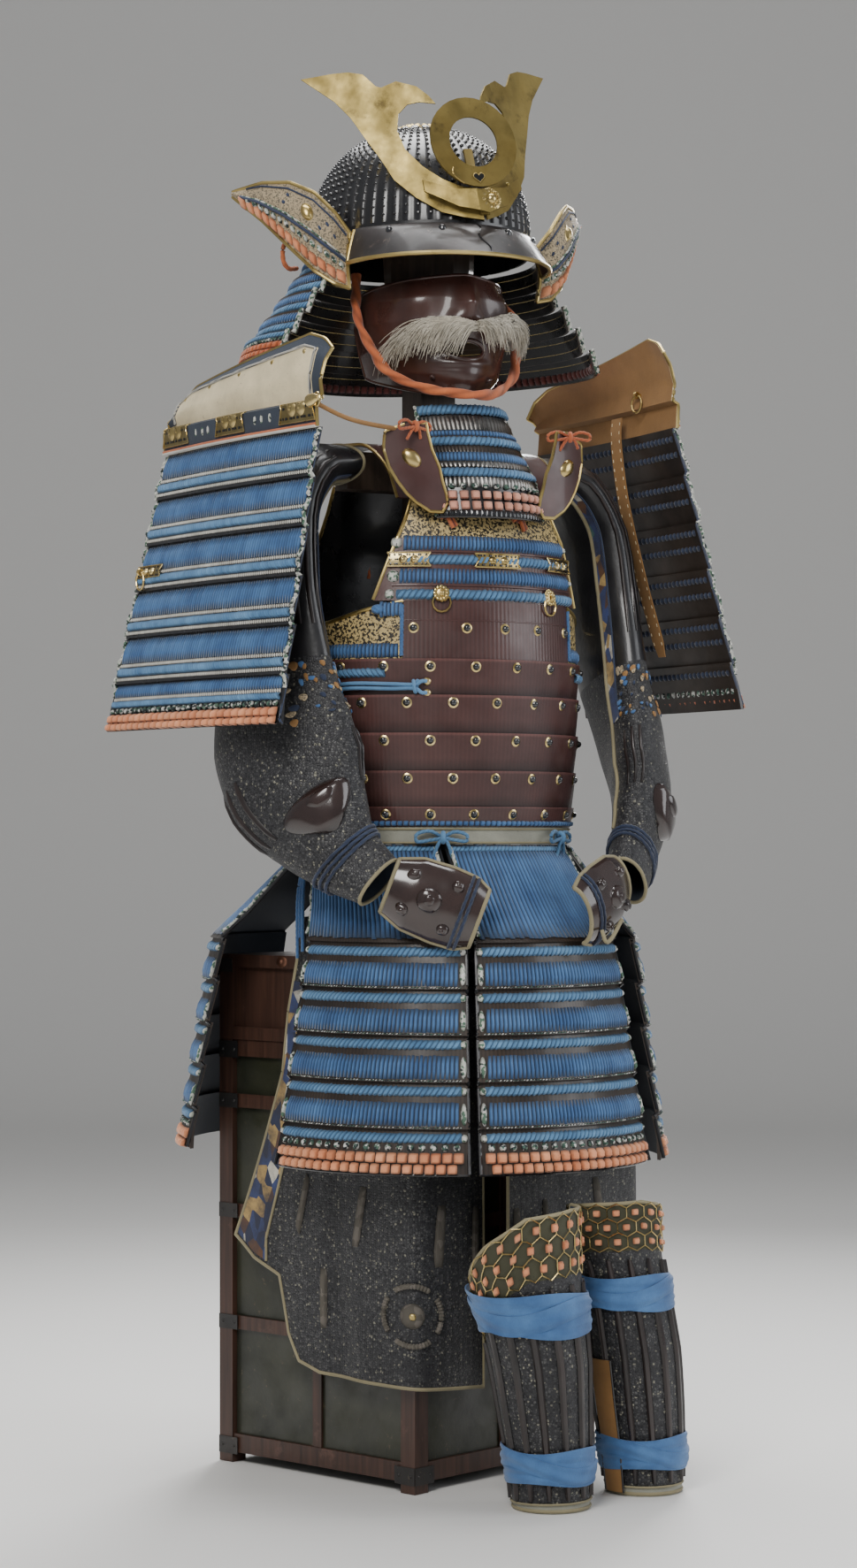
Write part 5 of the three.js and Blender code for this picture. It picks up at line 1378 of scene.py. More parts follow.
def make_straps_and_pads():
    for side, name in ((-1, "strap_right"), (1, "strap_left")):
        build = Build()
        line = spline([(side * x, y, z) for x, y, z in STRAP], 41)
        over = np.cross(np.array([1.0, 0, 0]), unit(np.gradient(line, axis=0)))
        over[over[:, 2] < -0.05] *= -1
        over = unit(over)
        over[0] = over[1] = over[2]

        def point(u, v, depth):
            k = v * 40
            centre, normal = between(k, np.arange(41), line), between(k, np.arange(41), over)
            centre[..., 0] += -20 + 40 * u
            return centre + normal * np.asarray(4 - depth)[..., None]

        shell(build, point, 10, 40, 4, RUSSET)
        for u in (0.02, 0.98):
            tube(build, point(np.full(40, u), np.linspace(0, 1, 40), 1.6), 2.0, RIM, sides=7)
        build.dress(name)

        build = Build()
        turn = math.radians(16.4)

        def surface(u, v, out):
            start, end = columns(PAD_EDGES, v)
            s = -76 * (start + (end - start) * u)
            reach = 5 * np.cos(np.pi * s / 76) + out
            return stack(side * (98 + s * math.cos(turn) + reach * math.sin(turn)),
                         -139 + s * math.sin(turn) - reach * math.cos(turn), 1214 - 100 * v)

        pad = "chest_pad_right" if side < 0 else "chest_pad_left"
        skin(build, surface, 20, 30, 2.6, RUSSET)
        u, v = legs((12, 0, 1, 0, 0), (40, 1, 1, 0.02, 1), (12, 1, 0, 1, 1), (40, 0, 0, 1, 0.02))
        trace(build, surface, u, v, -0.8, 2.0, RIM, sides=8)
        row = level(surface, 0.4, 100, 0.1, 0.9)
        dome(build, row, row.length / 2, 21, 5, GILT, 9, floor=0.8)
        bow(pad + "_bow", surface(np.array(0.5), np.array(0.05), 4.0), (0.96, side * -0.28, 0.03), 26, CORAL,
            0.6)
        build.dress(pad)


make_throat_guard()
make_chest()
make_cuirass()
make_straps_and_pads()


# --------------------------------------- shoulder guards
GUARDS = {
    "right": (-1, 0, (230, 257, -158, 176), (275, 330, -150, 190)),
    "left": (1, 28, (245, 257, -158, 170), (338, 338, -166, 176)),
}
CAP_TOP = [(0, 1288), (0.04, 1300), (0.12, 1308), (0.86, 1277), (0.95, 1265), (1, 1246)]
CAP_FORM = [(0, 1, -14), (0.2, 0.75, -6), (0.4, 0.35, 0), (0.6, 0, -2), (0.8, -0.05, 6), (1, -0.4, 4)]
TIER, GUARD_TOP, GUARD_HIGH, CAP_FOOT = 55, 1200, 331, 1232


def guard_surface(name):
    side, lift, top, low = GUARDS[name]

    def surface(u, z, out):
        t = (GUARD_TOP + lift - z) / GUARD_HIGH
        y = (top[2] + (top[3] - top[2]) * u) * (1 - t) + (low[2] + (low[3] - low[2]) * u) * t
        tt = np.maximum(t, 0)
        reach = (top[0] + (top[1] - top[0]) * u) * (1 - tt) + (low[0] + (low[1] - low[0]) * u) * tt
        return stack(side * (reach + 8 * np.sin(np.pi * u) + out), y, z)
    return surface


def cap_surface(name):
    guard = guard_surface(name)
    lift = GUARDS[name][1]

    def surface(u, w, out):
        part, more = columns(CAP_FORM, w)
        more = more + 1.2 * np.sin(np.clip(w / 0.6, 0, 1) * np.pi)
        top = columns(CAP_TOP, u)[0]
        z = CAP_FOOT + np.where(part < 0, (GUARD_TOP + 0.3 - CAP_FOOT) * part / -0.4, (top - CAP_FOOT) * part)
        return guard(u, z + lift, more + out)
    return surface


def edge_cord(build, surface, a, high, low):
    """Mixed cord that zigzags down a laced edge."""
    z = np.linspace(high, low, int((high - low) / 3))
    line = surface(a + 0 * z, z, 0.6 + 1.6 * np.sin(z * 0.24))
    tube(build, line, 2.8 * (1 + 0.25 * np.sin(z * 0.9)), MIXED, twist=13, lobes=0.42, sides=8)


def make_shoulder_guard(name):
    lift = GUARDS[name][1]
    plain = guard_surface(name)
    top, high = 1199.7 + lift, 330.7

    def saw(z):
        return 4.4 * (((top - z) / TIER) % 1)

    def surface(u, z, out):
        return plain(u, z, saw(z) + out)

    build = Build()
    rows = []
    for tier in range(6):
        rows += [tier * TIER + 0.01, tier * TIER + TIER / 2, (tier + 1) * TIER - 0.3]
    rows[-1] = high - 0.1
    rows = np.array(rows) / high

    def point(u, v, depth):
        z = top - high * v
        return plain(u, z, saw(np.minimum(z, top)) - depth)

    shell(build, point, 60, 1, 3.4, BLACK, lining=MOULDED, rows=rows)
    for tier in range(6):
        z = top - tier * TIER

        def whole(drop):
            return Row(surface, 0.012, 0.988, z - drop)

        if tier < 5:
            lacing(build, whole(16), 29, out=0.3, rise=2.4, pitch=4.6)
            dashes(build, whole(33), out=0.4)
            braid(build, whole(41), 11.5, out=0.3, rise=3.8, pitch=4.6, lean=1.1)
            dashes(build, whole(49.2), out=0.3)
        else:
            lacing(build, whole(8.5), 15, out=0.3, rise=2.4, pitch=4.6)
            dashes(build, whole(18), out=0.3)
            braid(build, whole(24), 9, out=0.3, rise=3.4, pitch=4.6, lean=1.1)
            beads(build, whole(32), 7.4, out=0.4, pitch=10.4, rise=3)
            knots(build, whole(41), 12.2, out=0.3, paint=ORANGE, tall=10.5, pitch=12.8)
            knots(build, whole(50.5), 12.2, out=0.1, paint=ORANGE, tall=9.5, pitch=12.8)
        # Inner face: dark knots in two rows on each lame.
        inner = ((12, NAVY), (30, NAVY)) if tier < 5 else ((12, NAVY), (34, MIXED_DARK), (45, CORAL))
        for drop, paint in inner:
            inside = Row(plain, 0.02, 0.98, z - drop)
            knots(build, inside, 7.5 if paint is NAVY else 9.5, out=saw(z - drop) - 3.6, paint=paint, rise=-2.6,
                  pitch=9.5 if paint is NAVY else 11.5, n=(4, 4))
    for edge in (0.004, 0.996):
        edge_cord(build, surface, edge, top - 1, top - 290)
        z = np.linspace(top - 1, top - 330, 60)
        trace(build, plain, edge, z, saw(z) - 2.4, 1.7, NAVY, sides=6)
    if name == "right":
        # Fitting on the rear edge, behind the ring and its stud.
        fitting(build, Row(surface, 0.82, 1.0, 1058), 14, out=3.4)
        at = plain(np.array(0.95), np.array(1058.0), np.array(0.0))
        post = [at + np.array([-k, 0, 0]) for k in (3.0, 7.0, 10.0)]
        tube(build, post, 2.4, GILT, sides=10, up=(0, 1, 0))
        wire_eye(build, at + np.array([-11.4, 0, 0]), np.array([0, 1, 0]), np.array([1, 0, 0]))
    build.dress(f"shoulder_guard_{name}")

    build = Build()
    cap = cap_surface(name)
    rows = np.sort(np.concatenate([np.linspace(0, 1, 21), [0.599, 0.601, 0.799]]))
    skin(build, cap, 60, 1, 3, CREAM, lining=TAN, rows=rows)

    for u0, u1, w0, w1, out, across, down in ((0, 1, 0, 0.13, 0.6, 40, 4), (0, 0.045, 0.1, 0.58, 0.6, 3, 12),
                                              (0.955, 1, 0.1, 0.58, 0.6, 3, 12),
                                              (0, 1, 0.63, 0.97, 0.7, 60, 8)):
        patch(build, cap, u0, u1, w0, w1, out, across, down, 0.5, NAVY_LEATHER)
    u, w = legs((12, 0.055, 0.055, 0.56, 0.16), (60, 0.06, 0.94, 0.14, 0.14), (12, 0.945, 0.945, 0.16, 0.56))
    trace(build, cap, u, w, 1.4, 1.8, WHITE, twist=11, lobes=0.5, sides=8, tone=0.75)
    trace(build, cap, u, w, 1.0, 1.5, NAVY, sides=6)
    u, w = legs((24, 0, 0, 1, 0), (60, 0, 1, 0, 0), (24, 1, 1, 0, 1))
    trace(build, cap, u, w, -0.6, 2.1, RIM, sides=8)
    low = np.linspace(0, 1, 60)
    trace(build, cap, low, 0.985, 1.6, 1.9, CORAL, sides=7)
    trace(build, cap, low, 1.0, 2.0, 2.0, WHITE, sides=7, tone=0.95)
    strip_row = level(cap, 0.83, 110)
    for start, end in ((0.0, 0.2), (0.41, 0.6), (0.8, 1.0)):
        fitting(build, level(cap, 0.83, 110, start, end), 26, out=1.4)
    for at in (0.26, 0.31, 0.35, 0.66, 0.7, 0.75):
        dome(build, strip_row, strip_row.length * at, 10, 2, MIXED, n=(4, 5), wide=7, t=-5, px=1.2, py=2)
    for at in (0.12, 0.3, 0.5, 0.7, 0.88):
        side_row = level(cap, 0.2, 110)
        dome(build, side_row, side_row.length * at, 5.5, 1.6, GILT, floor=0.7)
    if name == "left":
        at = guard_surface("left")(np.array(0.25), np.array(1276.0), np.array(-2.0))
        # The stud stands on the inner face, its eye round the ring.
        tube(build, [at + np.array([1.5, 0, 0]), at + np.array([-3.2, 0, 0])], 2.4, GILT, sides=10,
             up=(0, 1, 0))
        wire_eye(build, at - np.array([10 - 3.6, 0, 0]), np.array([0, 1, 0]), np.array([1, 0, 0]))
    build.dress(f"shoulder_cap_{name}")


HANGING = [(249, -30, 1253), (244, -36, 1222), (247, -48, 1150), (262, -62, 1060), (284, -76, 962)]


def make_hanging_strap():
    build, stitches = Build(), Build()
    line = spline(HANGING, 60)

    def point(u, v, depth):
        k = v * 59
        p = between(k, np.arange(60), line)
        fray = 1 - 0.35 * smooth(v, 0.93, 1.0)
        return p + stack(-1.2 + 0 * u - depth, (-11 + 22 * u) * fray, 0 * u)

    shell(build, point, 6, 59, 1.4, TAN)
    for u in (0.12, 0.88):
        v = np.linspace(0.02, 0.97, 150)
        at = point(np.full(150, u), v, 1.6)
        for k in range(0, 150, 6):
            tube(stitches, at[k:k + 3], 0.5, CREAM, sides=4)
    piece = build.dress("hanging_strap")
    declare(piece, lambda u, v, out: point(u, v, -out),
            [stitches.make("hanging_strap_stitches")])


make_shoulder_guard("right")
make_shoulder_guard("left")
make_hanging_strap()


# --------------------------------------- sleeves and hand guards
SLEEVE = [(-128, 0, 1178, 66, 24, 90), (-176, -4, 1166, 76, 30, 90), (-207, -10, 1112, 82, 30, 92),
          (-218, -20, 1020, 84, 32, 96), (-222, -34, 930, 90, 36, 104), (-224, -52, 860, 100, 38, 114),
          (-216, -80, 800, 90, 38, 122), (-202, -110, 755, 66, 33, 128), (-186, -138, 722, 46, 28, 134),
          (-164, -174, 694, 34, 23, 140)]
ELBOW = 0.44
LEFT_ARM = [(1180, 0, -4), (1020, -3, -8), (930, -9, -14), (860, -14, -22), (800, -13, -28), (752, -6, -24),
            (690, 4, -8)]


def sleeve_surface(side):
    table = np.array(SLEEVE, float)
    if side > 0:
        dx, dy = columns(LEFT_ARM, table[:, 2])
        table[:, 0] += dx
        table[:, 1] += dy
    line = curve(table[:, :3], 20)
    along = unit(np.gradient(line, axis=0))
    keys = np.linspace(0, 1, len(line))
    knots_at = np.linspace(0, 1, len(table))

    def surface(u, v, out):
        u, v, out = np.broadcast_arrays(u, v, out)
        centre, ahead = between(v, keys, line), between(v, keys, along)
        yaw = np.radians(np.interp(v, knots_at, table[:, 5]))
        long = np.stack([np.cos(yaw), np.sin(yaw), 0 * yaw], -1)
        long = unit(long - ahead * (long * ahead).sum(-1, keepdims=True))
        short = np.cross(ahead, long)
        turn = 2 * np.pi * u
        # Uneven creases of the cloth at the elbow and the upper arm, shallow everywhere else.
        crease = (1.5 * np.sin(turn * 2 + 21 * v) * np.exp(-((v - 0.52) / 0.12) ** 2)
                  + 1.1 * np.sin(turn + 33 * v + 1.3) * np.exp(-((v - 0.2) / 0.1) ** 2)
                  + 0.6 * np.sin(turn * 3 + 9 * v)) - 1.4
        wide = np.interp(v, knots_at, table[:, 3]) + out + crease
        narrow = np.interp(v, knots_at, table[:, 4]) + out + crease
        q = centre + long * (wide * np.cos(turn))[..., None] + short * (narrow * np.sin(turn))[..., None]
        return np.stack([-side * q[..., 0], q[..., 1], q[..., 2]], -1)
    return surface


def make_sleeve(side, name):
    surface = sleeve_surface(side)
    cloth = Build()
    shell(cloth, lambda u, v, depth: surface(u, ELBOW * v, -depth), 56, 30, 2.2, TARRED, lining=NAVY_LEATHER)
    shell(cloth, lambda u, v, depth: surface(u, ELBOW + (1 - ELBOW) * v, -depth), 56, 40, 2.2, MAIL,
          lining=NAVY_LEATHER)
    cloth = cloth.dress(name, sharp=70)
    build = Build()
    seam = 0.36

    def lace(u0, v0, u1, v1, radius, paint, out=1.2, count=60, **more):
        t = np.linspace(0, 1, count)
        trace(build, surface, u0 + (u1 - u0) * t, v0 + (v1 - v0) * t, out, radius, paint, sides=7, **more)

    patch(build, surface, seam, seam + 0.035, 0.03, 0.56, 0.7, 6, 40, 0.6, BROCADE)
    lace(seam, 0.02, seam, 0.86, 2.4, OLIVE, 1.4, 90)
    lace(seam + 0.04, 0.03, seam + 0.04, 0.56, 1.2, NAVY, 1.2, 90)
    t = np.linspace(0, 1, 61)
    for v, radius in ((0.0, 2.4), (1.0, 2.2)):
        trace(build, surface, t, v, -0.6, radius, OLIVE, sides=7)
    # Scraps of worn brocade round the elbow.
    for k in range(46):
        u0, v0 = rng.uniform(0.4, 0.68), 0.45 + 0.12 * rng.uniform(0, 1) ** 1.3
        plate(build, surface, u0, v0, rng.uniform(0.006, 0.014), rng.uniform(0.004, 0.009),
              (TAN, BLUE, FIGURED, NAVY)[k % 4], rise=1.8, round_=True)
    # Splints down the upper arm and the forearm, each ribbed along its middle.
    for centre in np.linspace(0.48, 0.93, 9):
        plate(build, surface, centre, 0.24, 0.012, 0.15, SPLINT, rise=2.2)
    for centre in (0.43, 0.47, 0.51, 0.86, 0.91, 0.96):
        plate(build, surface, centre, 0.68, 0.009, 0.07, SPLINT, rise=2.4)
    # Pear-shaped plate on the forearm with a small boss.
    plate(build, surface, 0.7, 0.775, 0.1, 0.062, DOME, rise=10, round_=True, taper=0.42)
    plate(build, surface, 0.69, 0.752, 0.036, 0.02, DOME, rise=3.4, round_=True, out=9.4)
    # Cords tied round the wrist.
    for v in (0.885, 0.9, 0.915):
        trace(build, surface, t, v + 0.004 * np.sin(t * 12), 1.6, 2.4, NAVY, sides=7, twist=12, lobes=0.3)
    trim = build.make(name + "_trim", sharp=55)
    declare(cloth, surface, [trim])


def plate(build, surface, u0, v0, du, dv, paint, rise=2.6, round_=False, out=0.6, taper=0.22):
    """A small plate lying on the cloth: a narrow splint with a ridge, or a rounded dome."""
    gx, gy = np.meshgrid(np.linspace(-1, 1, 9 if round_ else 5), np.linspace(-1, 1, 9))
    if round_:
        x = gx * np.sqrt(1 - gy ** 2 / 2) * (1 - taper * gy)
        y = gy * np.sqrt(1 - gx ** 2 / 2)
    else:
        x, y = gx * (1 - 0.25 * gy ** 6), gy
    r = np.maximum(np.abs(gx), np.abs(gy))
    if round_:
        high = np.clip(1 - r ** 2.4, 0, 1) ** 0.5
    else:
        high = (np.clip(1 - np.abs(gx) ** 2, 0, 1) * np.clip(1 - np.abs(gy) ** 10, 0, 1)) ** 0.5
    points = surface(u0 + du * x, v0 + dv * y, out + rise * high).reshape(-1, 3)
    under = surface(u0 + du * x, v0 + dv * y, -8 + 0 * x).reshape(-1, 3)
    faces = quads(gx.shape[1] - 1, gx.shape[0] - 1)
    faces = outward(faces, points, under)
    # Painted shade: the plate darkens from its crown towards its edges.
    build.add(points, faces, paint, 0.55 + 0.45 * high)


HAND_FORM = [(0, 0.72), (0.25, 0.95), (0.6, 1), (0.85, 0.96), (1, 0.78)]


def hand_surface(side, x, y, z):
    out_ = np.array([0.5 * side, -0.866, 0])
    along = unit([-0.81 * side, -0.47, -0.35])
    up = unit(np.cross(out_, along))
    up = -up if up[2] < 0 else up

    def surface(u, v, more):
        u, v, more = np.broadcast_arrays(u, v, more)
        width = columns(HAND_FORM, u)[0]
        turn = np.radians(-78 + 156 * v)
        a = (106 * (u - 0.5))[..., None] * along
        b = ((45 * width + more) * np.sin(turn))[..., None] * up
        c = ((26 * width + more) * np.cos(turn) - 13)[..., None] * out_
        return np.array([x, y, z]) + a + b + c
    return surface


def make_hand_guard(side, name, place):
    build = Build()
    surface = hand_surface(side, *place)
    skin(build, surface, 28, 32, 3, DOME, lining=NAVY_LEATHER)
    u, v = legs((24, 0, 1, 0, 0), (24, 1, 1, 0, 1), (24, 1, 0, 1, 1), (24, 0, 0, 1, 0))
    trace(build, surface, u, v, -0.8, 2.6, OLIVE, sides=8)
    t = np.linspace(0.04, 0.96, 30)
    for share in (0.8, 0.86):
        trace(build, surface, share, t, 0.8, 2.2, NAVY, sides=7, twist=11, lobes=0.3)
    # Embossed round bosses.
    for u0, v0, du in ((0.44, 0.5, 0.14), (0.2, 0.32, 0.075), (0.2, 0.7, 0.075), (0.68, 0.28, 0.07),
                       (0.68, 0.72, 0.07)):
        plate(build, surface, u0, v0, du, du * 0.86, DOME, rise=5 + 12 * du, round_=True, out=-0.4, taper=0)
        plate(build, surface, u0, v0, du * 0.4, du * 0.34, DOME, rise=2.4, round_=True, out=4 + 11 * du,
              taper=0)
    # A thumb cord, on the left hand only.
    hand = np.array(place, float)
    inner = np.array([-0.81 * side, -0.47, -0.35]) * 44
    if side > 0:
        loop = [hand + inner * -0.4 + [0, -20, -30], hand + inner * 0.1 + [-6, -26, -42],
                hand + inner * 0.5 + [-4, -24, -40], hand + inner * 0.7 + [0, -16, -24]]
        free_cord("thumb_cord", spline(loop, 40), 4.8, OLIVE, "object", sides=7)
    build.dress(name, sharp=50)


make_sleeve(-1, "sleeve_right")
make_sleeve(1, "sleeve_left")
make_hand_guard(-1, "hand_guard_right", (-116, -214, 672))
make_hand_guard(1, "hand_guard_left", (103, -226, 674))


# --------------------------------------- laced skirt
FALL_FRONT = [(735.7, 0, -20, 160, 136), (626, 8, -52, 188, 178), (369, 8, -52, 228, 218)]
FALL_SIDE = [(735.7, 0, -20, 160, 136), (626, 8, -46, 216, 194), (369, 8, -46, 248, 230)]
FALL_REAR = [(735.7, 0, -20, 160, 136), (626, 0, 12, 243, 272), (369, 0, 12, 287, 296)]
SKIRT_TOP, LAMES_TOP, YOKE = 735.7, 626, 109.7
PANELS = [(-94, -25.6, FALL_FRONT, 0, 369), (-23, 45, FALL_FRONT, 2, 369), (49, 112, FALL_SIDE, 2, 369),
          (118, 184, FALL_REAR, 0, 383), (-169, -101, FALL_REAR, 0, 383)]


def make_skirt_panel(number, start, end, fall, more, bottom):
    build = Build()
    pitch = (LAMES_TOP - bottom) / 5

    def plain(angle, z, out):
        x, y, wide, long = columns(fall, z)
        grow = more * np.clip((SKIRT_TOP - z) / YOKE, 0, 1) + out
        return ellipse(angle, wide + grow, long + grow, z, x, y)

    def saw(z):
        lower = 5.2 * (((LAMES_TOP - z) / pitch) % 1)
        return np.where(z > LAMES_TOP, 4.5 * smooth(660 - z, 0, 34), lower)

    def surface(angle, z, out):
        return plain(angle, z, saw(z) + out)

    heights = [SKIRT_TOP, 715, 690, 660, 640, LAMES_TOP + 0.3]
    for tier in range(5):
        high = LAMES_TOP - tier * pitch
        heights += [high - 0.1, high - pitch * 0.5, high - pitch + 0.2]
    heights[-1] = bottom
    heights = np.array(heights)
    width = Row(plain, start, end, 500).length
    ribs = int(width / 4.6)

    def point(u, v, depth):
        z = SKIRT_TOP - (SKIRT_TOP - bottom) * v
        bump = 0.5 * np.abs(np.sin(np.pi * u * ribs)) ** 0.5 * (z < LAMES_TOP) if depth == 0 else 0
        return plain(start + (end - start) * u, z, saw(z) + bump - depth)

    rows = (SKIRT_TOP - heights) / (SKIRT_TOP - bottom)
    # Painted shade in the hollows between the ribs, their crests lighter.
    shell(build, point, ribs * 2, 1, 3.4, MOULDED, lining=NAVY_LEATHER, rows=rows, tone=lambda u,
          v: 0.45 + 0.6 * np.abs(np.sin(np.pi * u * ribs)) ** 0.5)

    def row(z, inset=1.2):
        return Row(surface, start + inset, end - inset, z)

    # Loose lacing from the cuirass's hem to the first lame: single cords, a little uneven.
    loose = row(683, 2.0)
    pads(build, loose, 5.4, 104, 2.6, BLUE, n=(4, 7), px=2.2, py=30, square=1.0, loose=0.02, shade=0.16,
         floor=0.2, out=1.0)
    braid(build, row(731, 1.5), 7, out=0.6, rise=3, pitch=5)
    for tier in range(5):
        high = LAMES_TOP - tier * pitch
        braid(build, row(high - 10, 2.2), 11.5, out=0.4, pitch=6, rise=4.4)
        for end_ in (start + 1.6, end - 1.6):
            edge = Row(surface, end_ - 2, end_ + 2, high - 10)
            beads(build, edge, 8.6, out=0.8, paint=MIXED, rise=4.4, at=[edge.length / 2])
            if tier < 4:
                edge = Row(surface, end_ - 2, end_ + 2, high - 35)
                dome(build, edge, edge.length / 2, 25, 3.6, MIXED, n=(5, 7), out=0.6, wide=7.5, ridges=8, py=4)
        if tier < 4:
            lacing(build, row(high - 35, 3.0), 26, out=0.4, pitch=5, rise=2.8)
            dashes(build, row(high - 49.6 * pitch / 51.4, 2), out=0.2, tall=1.6, tone=0.35, paint=MIXED_DARK)
        else:
            beads(build, row(high - 20.4, 2), 8.2, out=0.4, pitch=12.6, rise=3.4)
            knots(build, row(high - 31.6, 1.6), 12, out=0.4, pitch=12.7, tall=11.6)
            knots(build, row(high - 43.6, 3.4), 11.6, out=-1.2, pitch=12.7, tall=11)
    low = np.linspace(start + 0.5, end - 0.5, 60)
    trace(build, plain, low, bottom + 0.8, -0.6, 1.5, BLACK, sides=6)
    for edge in (start + 0.25, end - 0.25):
        z = np.linspace(734, bottom + 2, 90)
        trace(build, surface, edge, z, -0.6, 2.1, BLACK, sides=7)
        z = np.linspace(733, 634, 40)
        shift = 1.6 if edge < (start + end) / 2 else -1.6
        line = surface(edge + shift + 0 * z, z, 2.4 + 0.9 * np.sin(z * 0.3))
        tube(build, line, 2.5, MIXED, twist=13, lobes=0.42, sides=8)
    build.make(f"skirt_fine_{number}", [f"skirt_{number}"])


for number, panel in enumerate(PANELS):
    make_skirt_panel(number + 1, *panel)


# --------------------------------------- thigh apron
BOX_TURN, BAND_TOP, BAND_LOW = 17.5, 650, 611
APRON_FALLS = {
    "right": ([(604, 1, 52, 169, 26), (540, 1, 52, 176, 14), (300, 1, 52, 179, 11)], 4,
              [(650, 193), (470, 186), (275, 165), (100, 165)], 268),
    "left": ([(604, 1, 52, 172, 26), (520, 1, 52, 181, 14), (430, 14, 26, 194, 7)], 8,
             [(650, 346), (470, 352), (275, 372), (100, 372)], 266),
}
APRON_HEM = [(0, 275), (0.08, 250), (0.19, 232), (0.24, 166), (0.3, 136), (0.4, 126), (0.73, 121), (1, 112)]


def apron_surface(name):
    fall, lap, edge, split = APRON_FALLS[name]

    def surface(u, v, out):
        u, v, out = np.broadcast_arrays(u, v, out)
        bottom = columns(APRON_HEM, u)[0]
        row = 9 * v
        z = np.where(row < 2, BAND_TOP - 39 * row / 2, BAND_LOW + (bottom - BAND_LOW) * (row - 2) / 7)
        start = columns(edge, z)[0]
        angle = start + (split - start) * u
        hang = smooth(600 - z, 0, 300)
        # Long folds that hang from the lid's edge, uneven across the cloth.
        fold = hang * np.sin(u * np.pi) * (2.0 * np.sin(u * 23) + 1.0 * np.sin(u * 41 + 1.2 + z / 90))
        depth = -out - fold + 1.0 * hang
        x, y, half, power = columns(fall, z)
        turn = np.radians(angle - BOX_TURN)
        corner = np.abs(np.cos(turn)) ** power + np.abs(np.sin(turn)) ** power
        reach = half / corner ** (1 / power) - depth
        px = x + reach * np.cos(np.radians(angle))
        py = y + reach * np.sin(np.radians(angle))
        band_ = np.hypot(px / (161 + lap - depth), py / (131 + lap - depth))
        over = smooth(BAND_TOP - z, 2, 38)
        scale = np.where(band_ < 1, 1 / band_, 1 / band_ + (1 - 1 / band_) * over)
        return stack(px * scale, py * scale, z)
    return surface


def make_apron(name):
    surface = apron_surface(name)
    build = Build()
    rows = np.sort(np.concatenate([np.linspace(0, 1, 50), [0.222]]))
    skin(build, surface, 84, 1, 2.2, MAIL, lining=NAVY_LEATHER, rows=rows)
    cloth = build.dress(f"apron_{name}", sharp=60)

    trim = Build()

    def lace(points, radius, paint, out=0.8, **more):
        line = spline([(u, v, 0) for u, v in points], max(16, 12 * len(points)))
        trace(trim, surface, line[:, 0], line[:, 1], out, radius, paint, sides=7, **more)

    hem = [(u, 0.998) for u in np.linspace(0, 1, 22)]
    lace(hem, 2.3, OLIVE, -0.6)
    lace([(0.002, v) for v in np.linspace(0.24, 0.998, 14)], 2.3, OLIVE, -0.6)
    lace([(0.998, v) for v in np.linspace(0.24, 0.998, 14)], 2.0, OLIVE, -0.6)
    patch(trim, surface, 0.01, 0.13, 0.3, 0.985, 0.7, 8, 30, 0.6, BROCADE)
    lace([(0.135, v) for v in np.linspace(0.3, 0.985, 12)], 1.7, OLIVE)
    # Upright splints set in the mail.
    for u0, v0 in ((0.28, 0.71), (0.56, 0.7), (0.82, 0.725), (0.42, 0.86), (0.96, 0.73)):
        plate(trim, surface, u0, v0, 0.016, 0.055, TAUPE, rise=3.4)
    # A boss with four ribbed arcs round it.
    u0, v0 = 0.745, 0.868
    for k in range(4):
        a = np.linspace(0.2, 1.37, 22) + k * math.pi / 2 + 0.78
        trace(trim, surface, u0 + 0.082 * np.cos(a), v0 + 0.054 * np.sin(a), 1.6,
              3.2 * (1 + 0.16 * np.cos(np.arange(22) * np.pi)), TAUPE, sides=7)
    plate(trim, surface, u0, v0, 0.034, 0.023, TAUPE, rise=5, round_=True, taper=0)
    plate(trim, surface, u0, v0, 0.01, 0.007, RIM, rise=3, round_=True, out=4.6, taper=0)
    declare(cloth, surface, [trim.make(f"apron_{name}_trim")])


def make_waistband():
    build = Build()

    def surface(u, v, out):
        angle = 360 * u
        crease = 0.7 * np.sin(u * 61 + 2 * v) * np.sin(np.pi * v) - 0.8
        return ellipse(angle, 161 + out + crease, 131 + out + crease, BAND_TOP - 44.7 * v)

    skin(build, surface, 150, 8, 2.0, NAVY_LEATHER)
    declare(build.dress("apron_waistband"), surface)


make_waistband()
make_apron("right")
make_apron("left")


# --------------------------------------- shin guards
SHIN_HALF = 122
SHIN_FORM = [(0, 44, 0), (60, 47, 0.1), (160, 56, 0.4), (240, 61, 0.8), (270, 64, 1), (333, 66, 1.1)]
SHINS = {
    "right": (-2, -277, -34, 18, 0, [(-122, 222), (-70, 244), (-30, 296), (6, 326), (60, 333), (122, 332)],
              ((50, 38), (219, 46))),
    "left": (141, -248, -18, 2, 0.2, [(-122, 322), (-40, 330), (20, 333), (80, 324), (122, 314)],
             ((48, 36), (230, 38))),
}


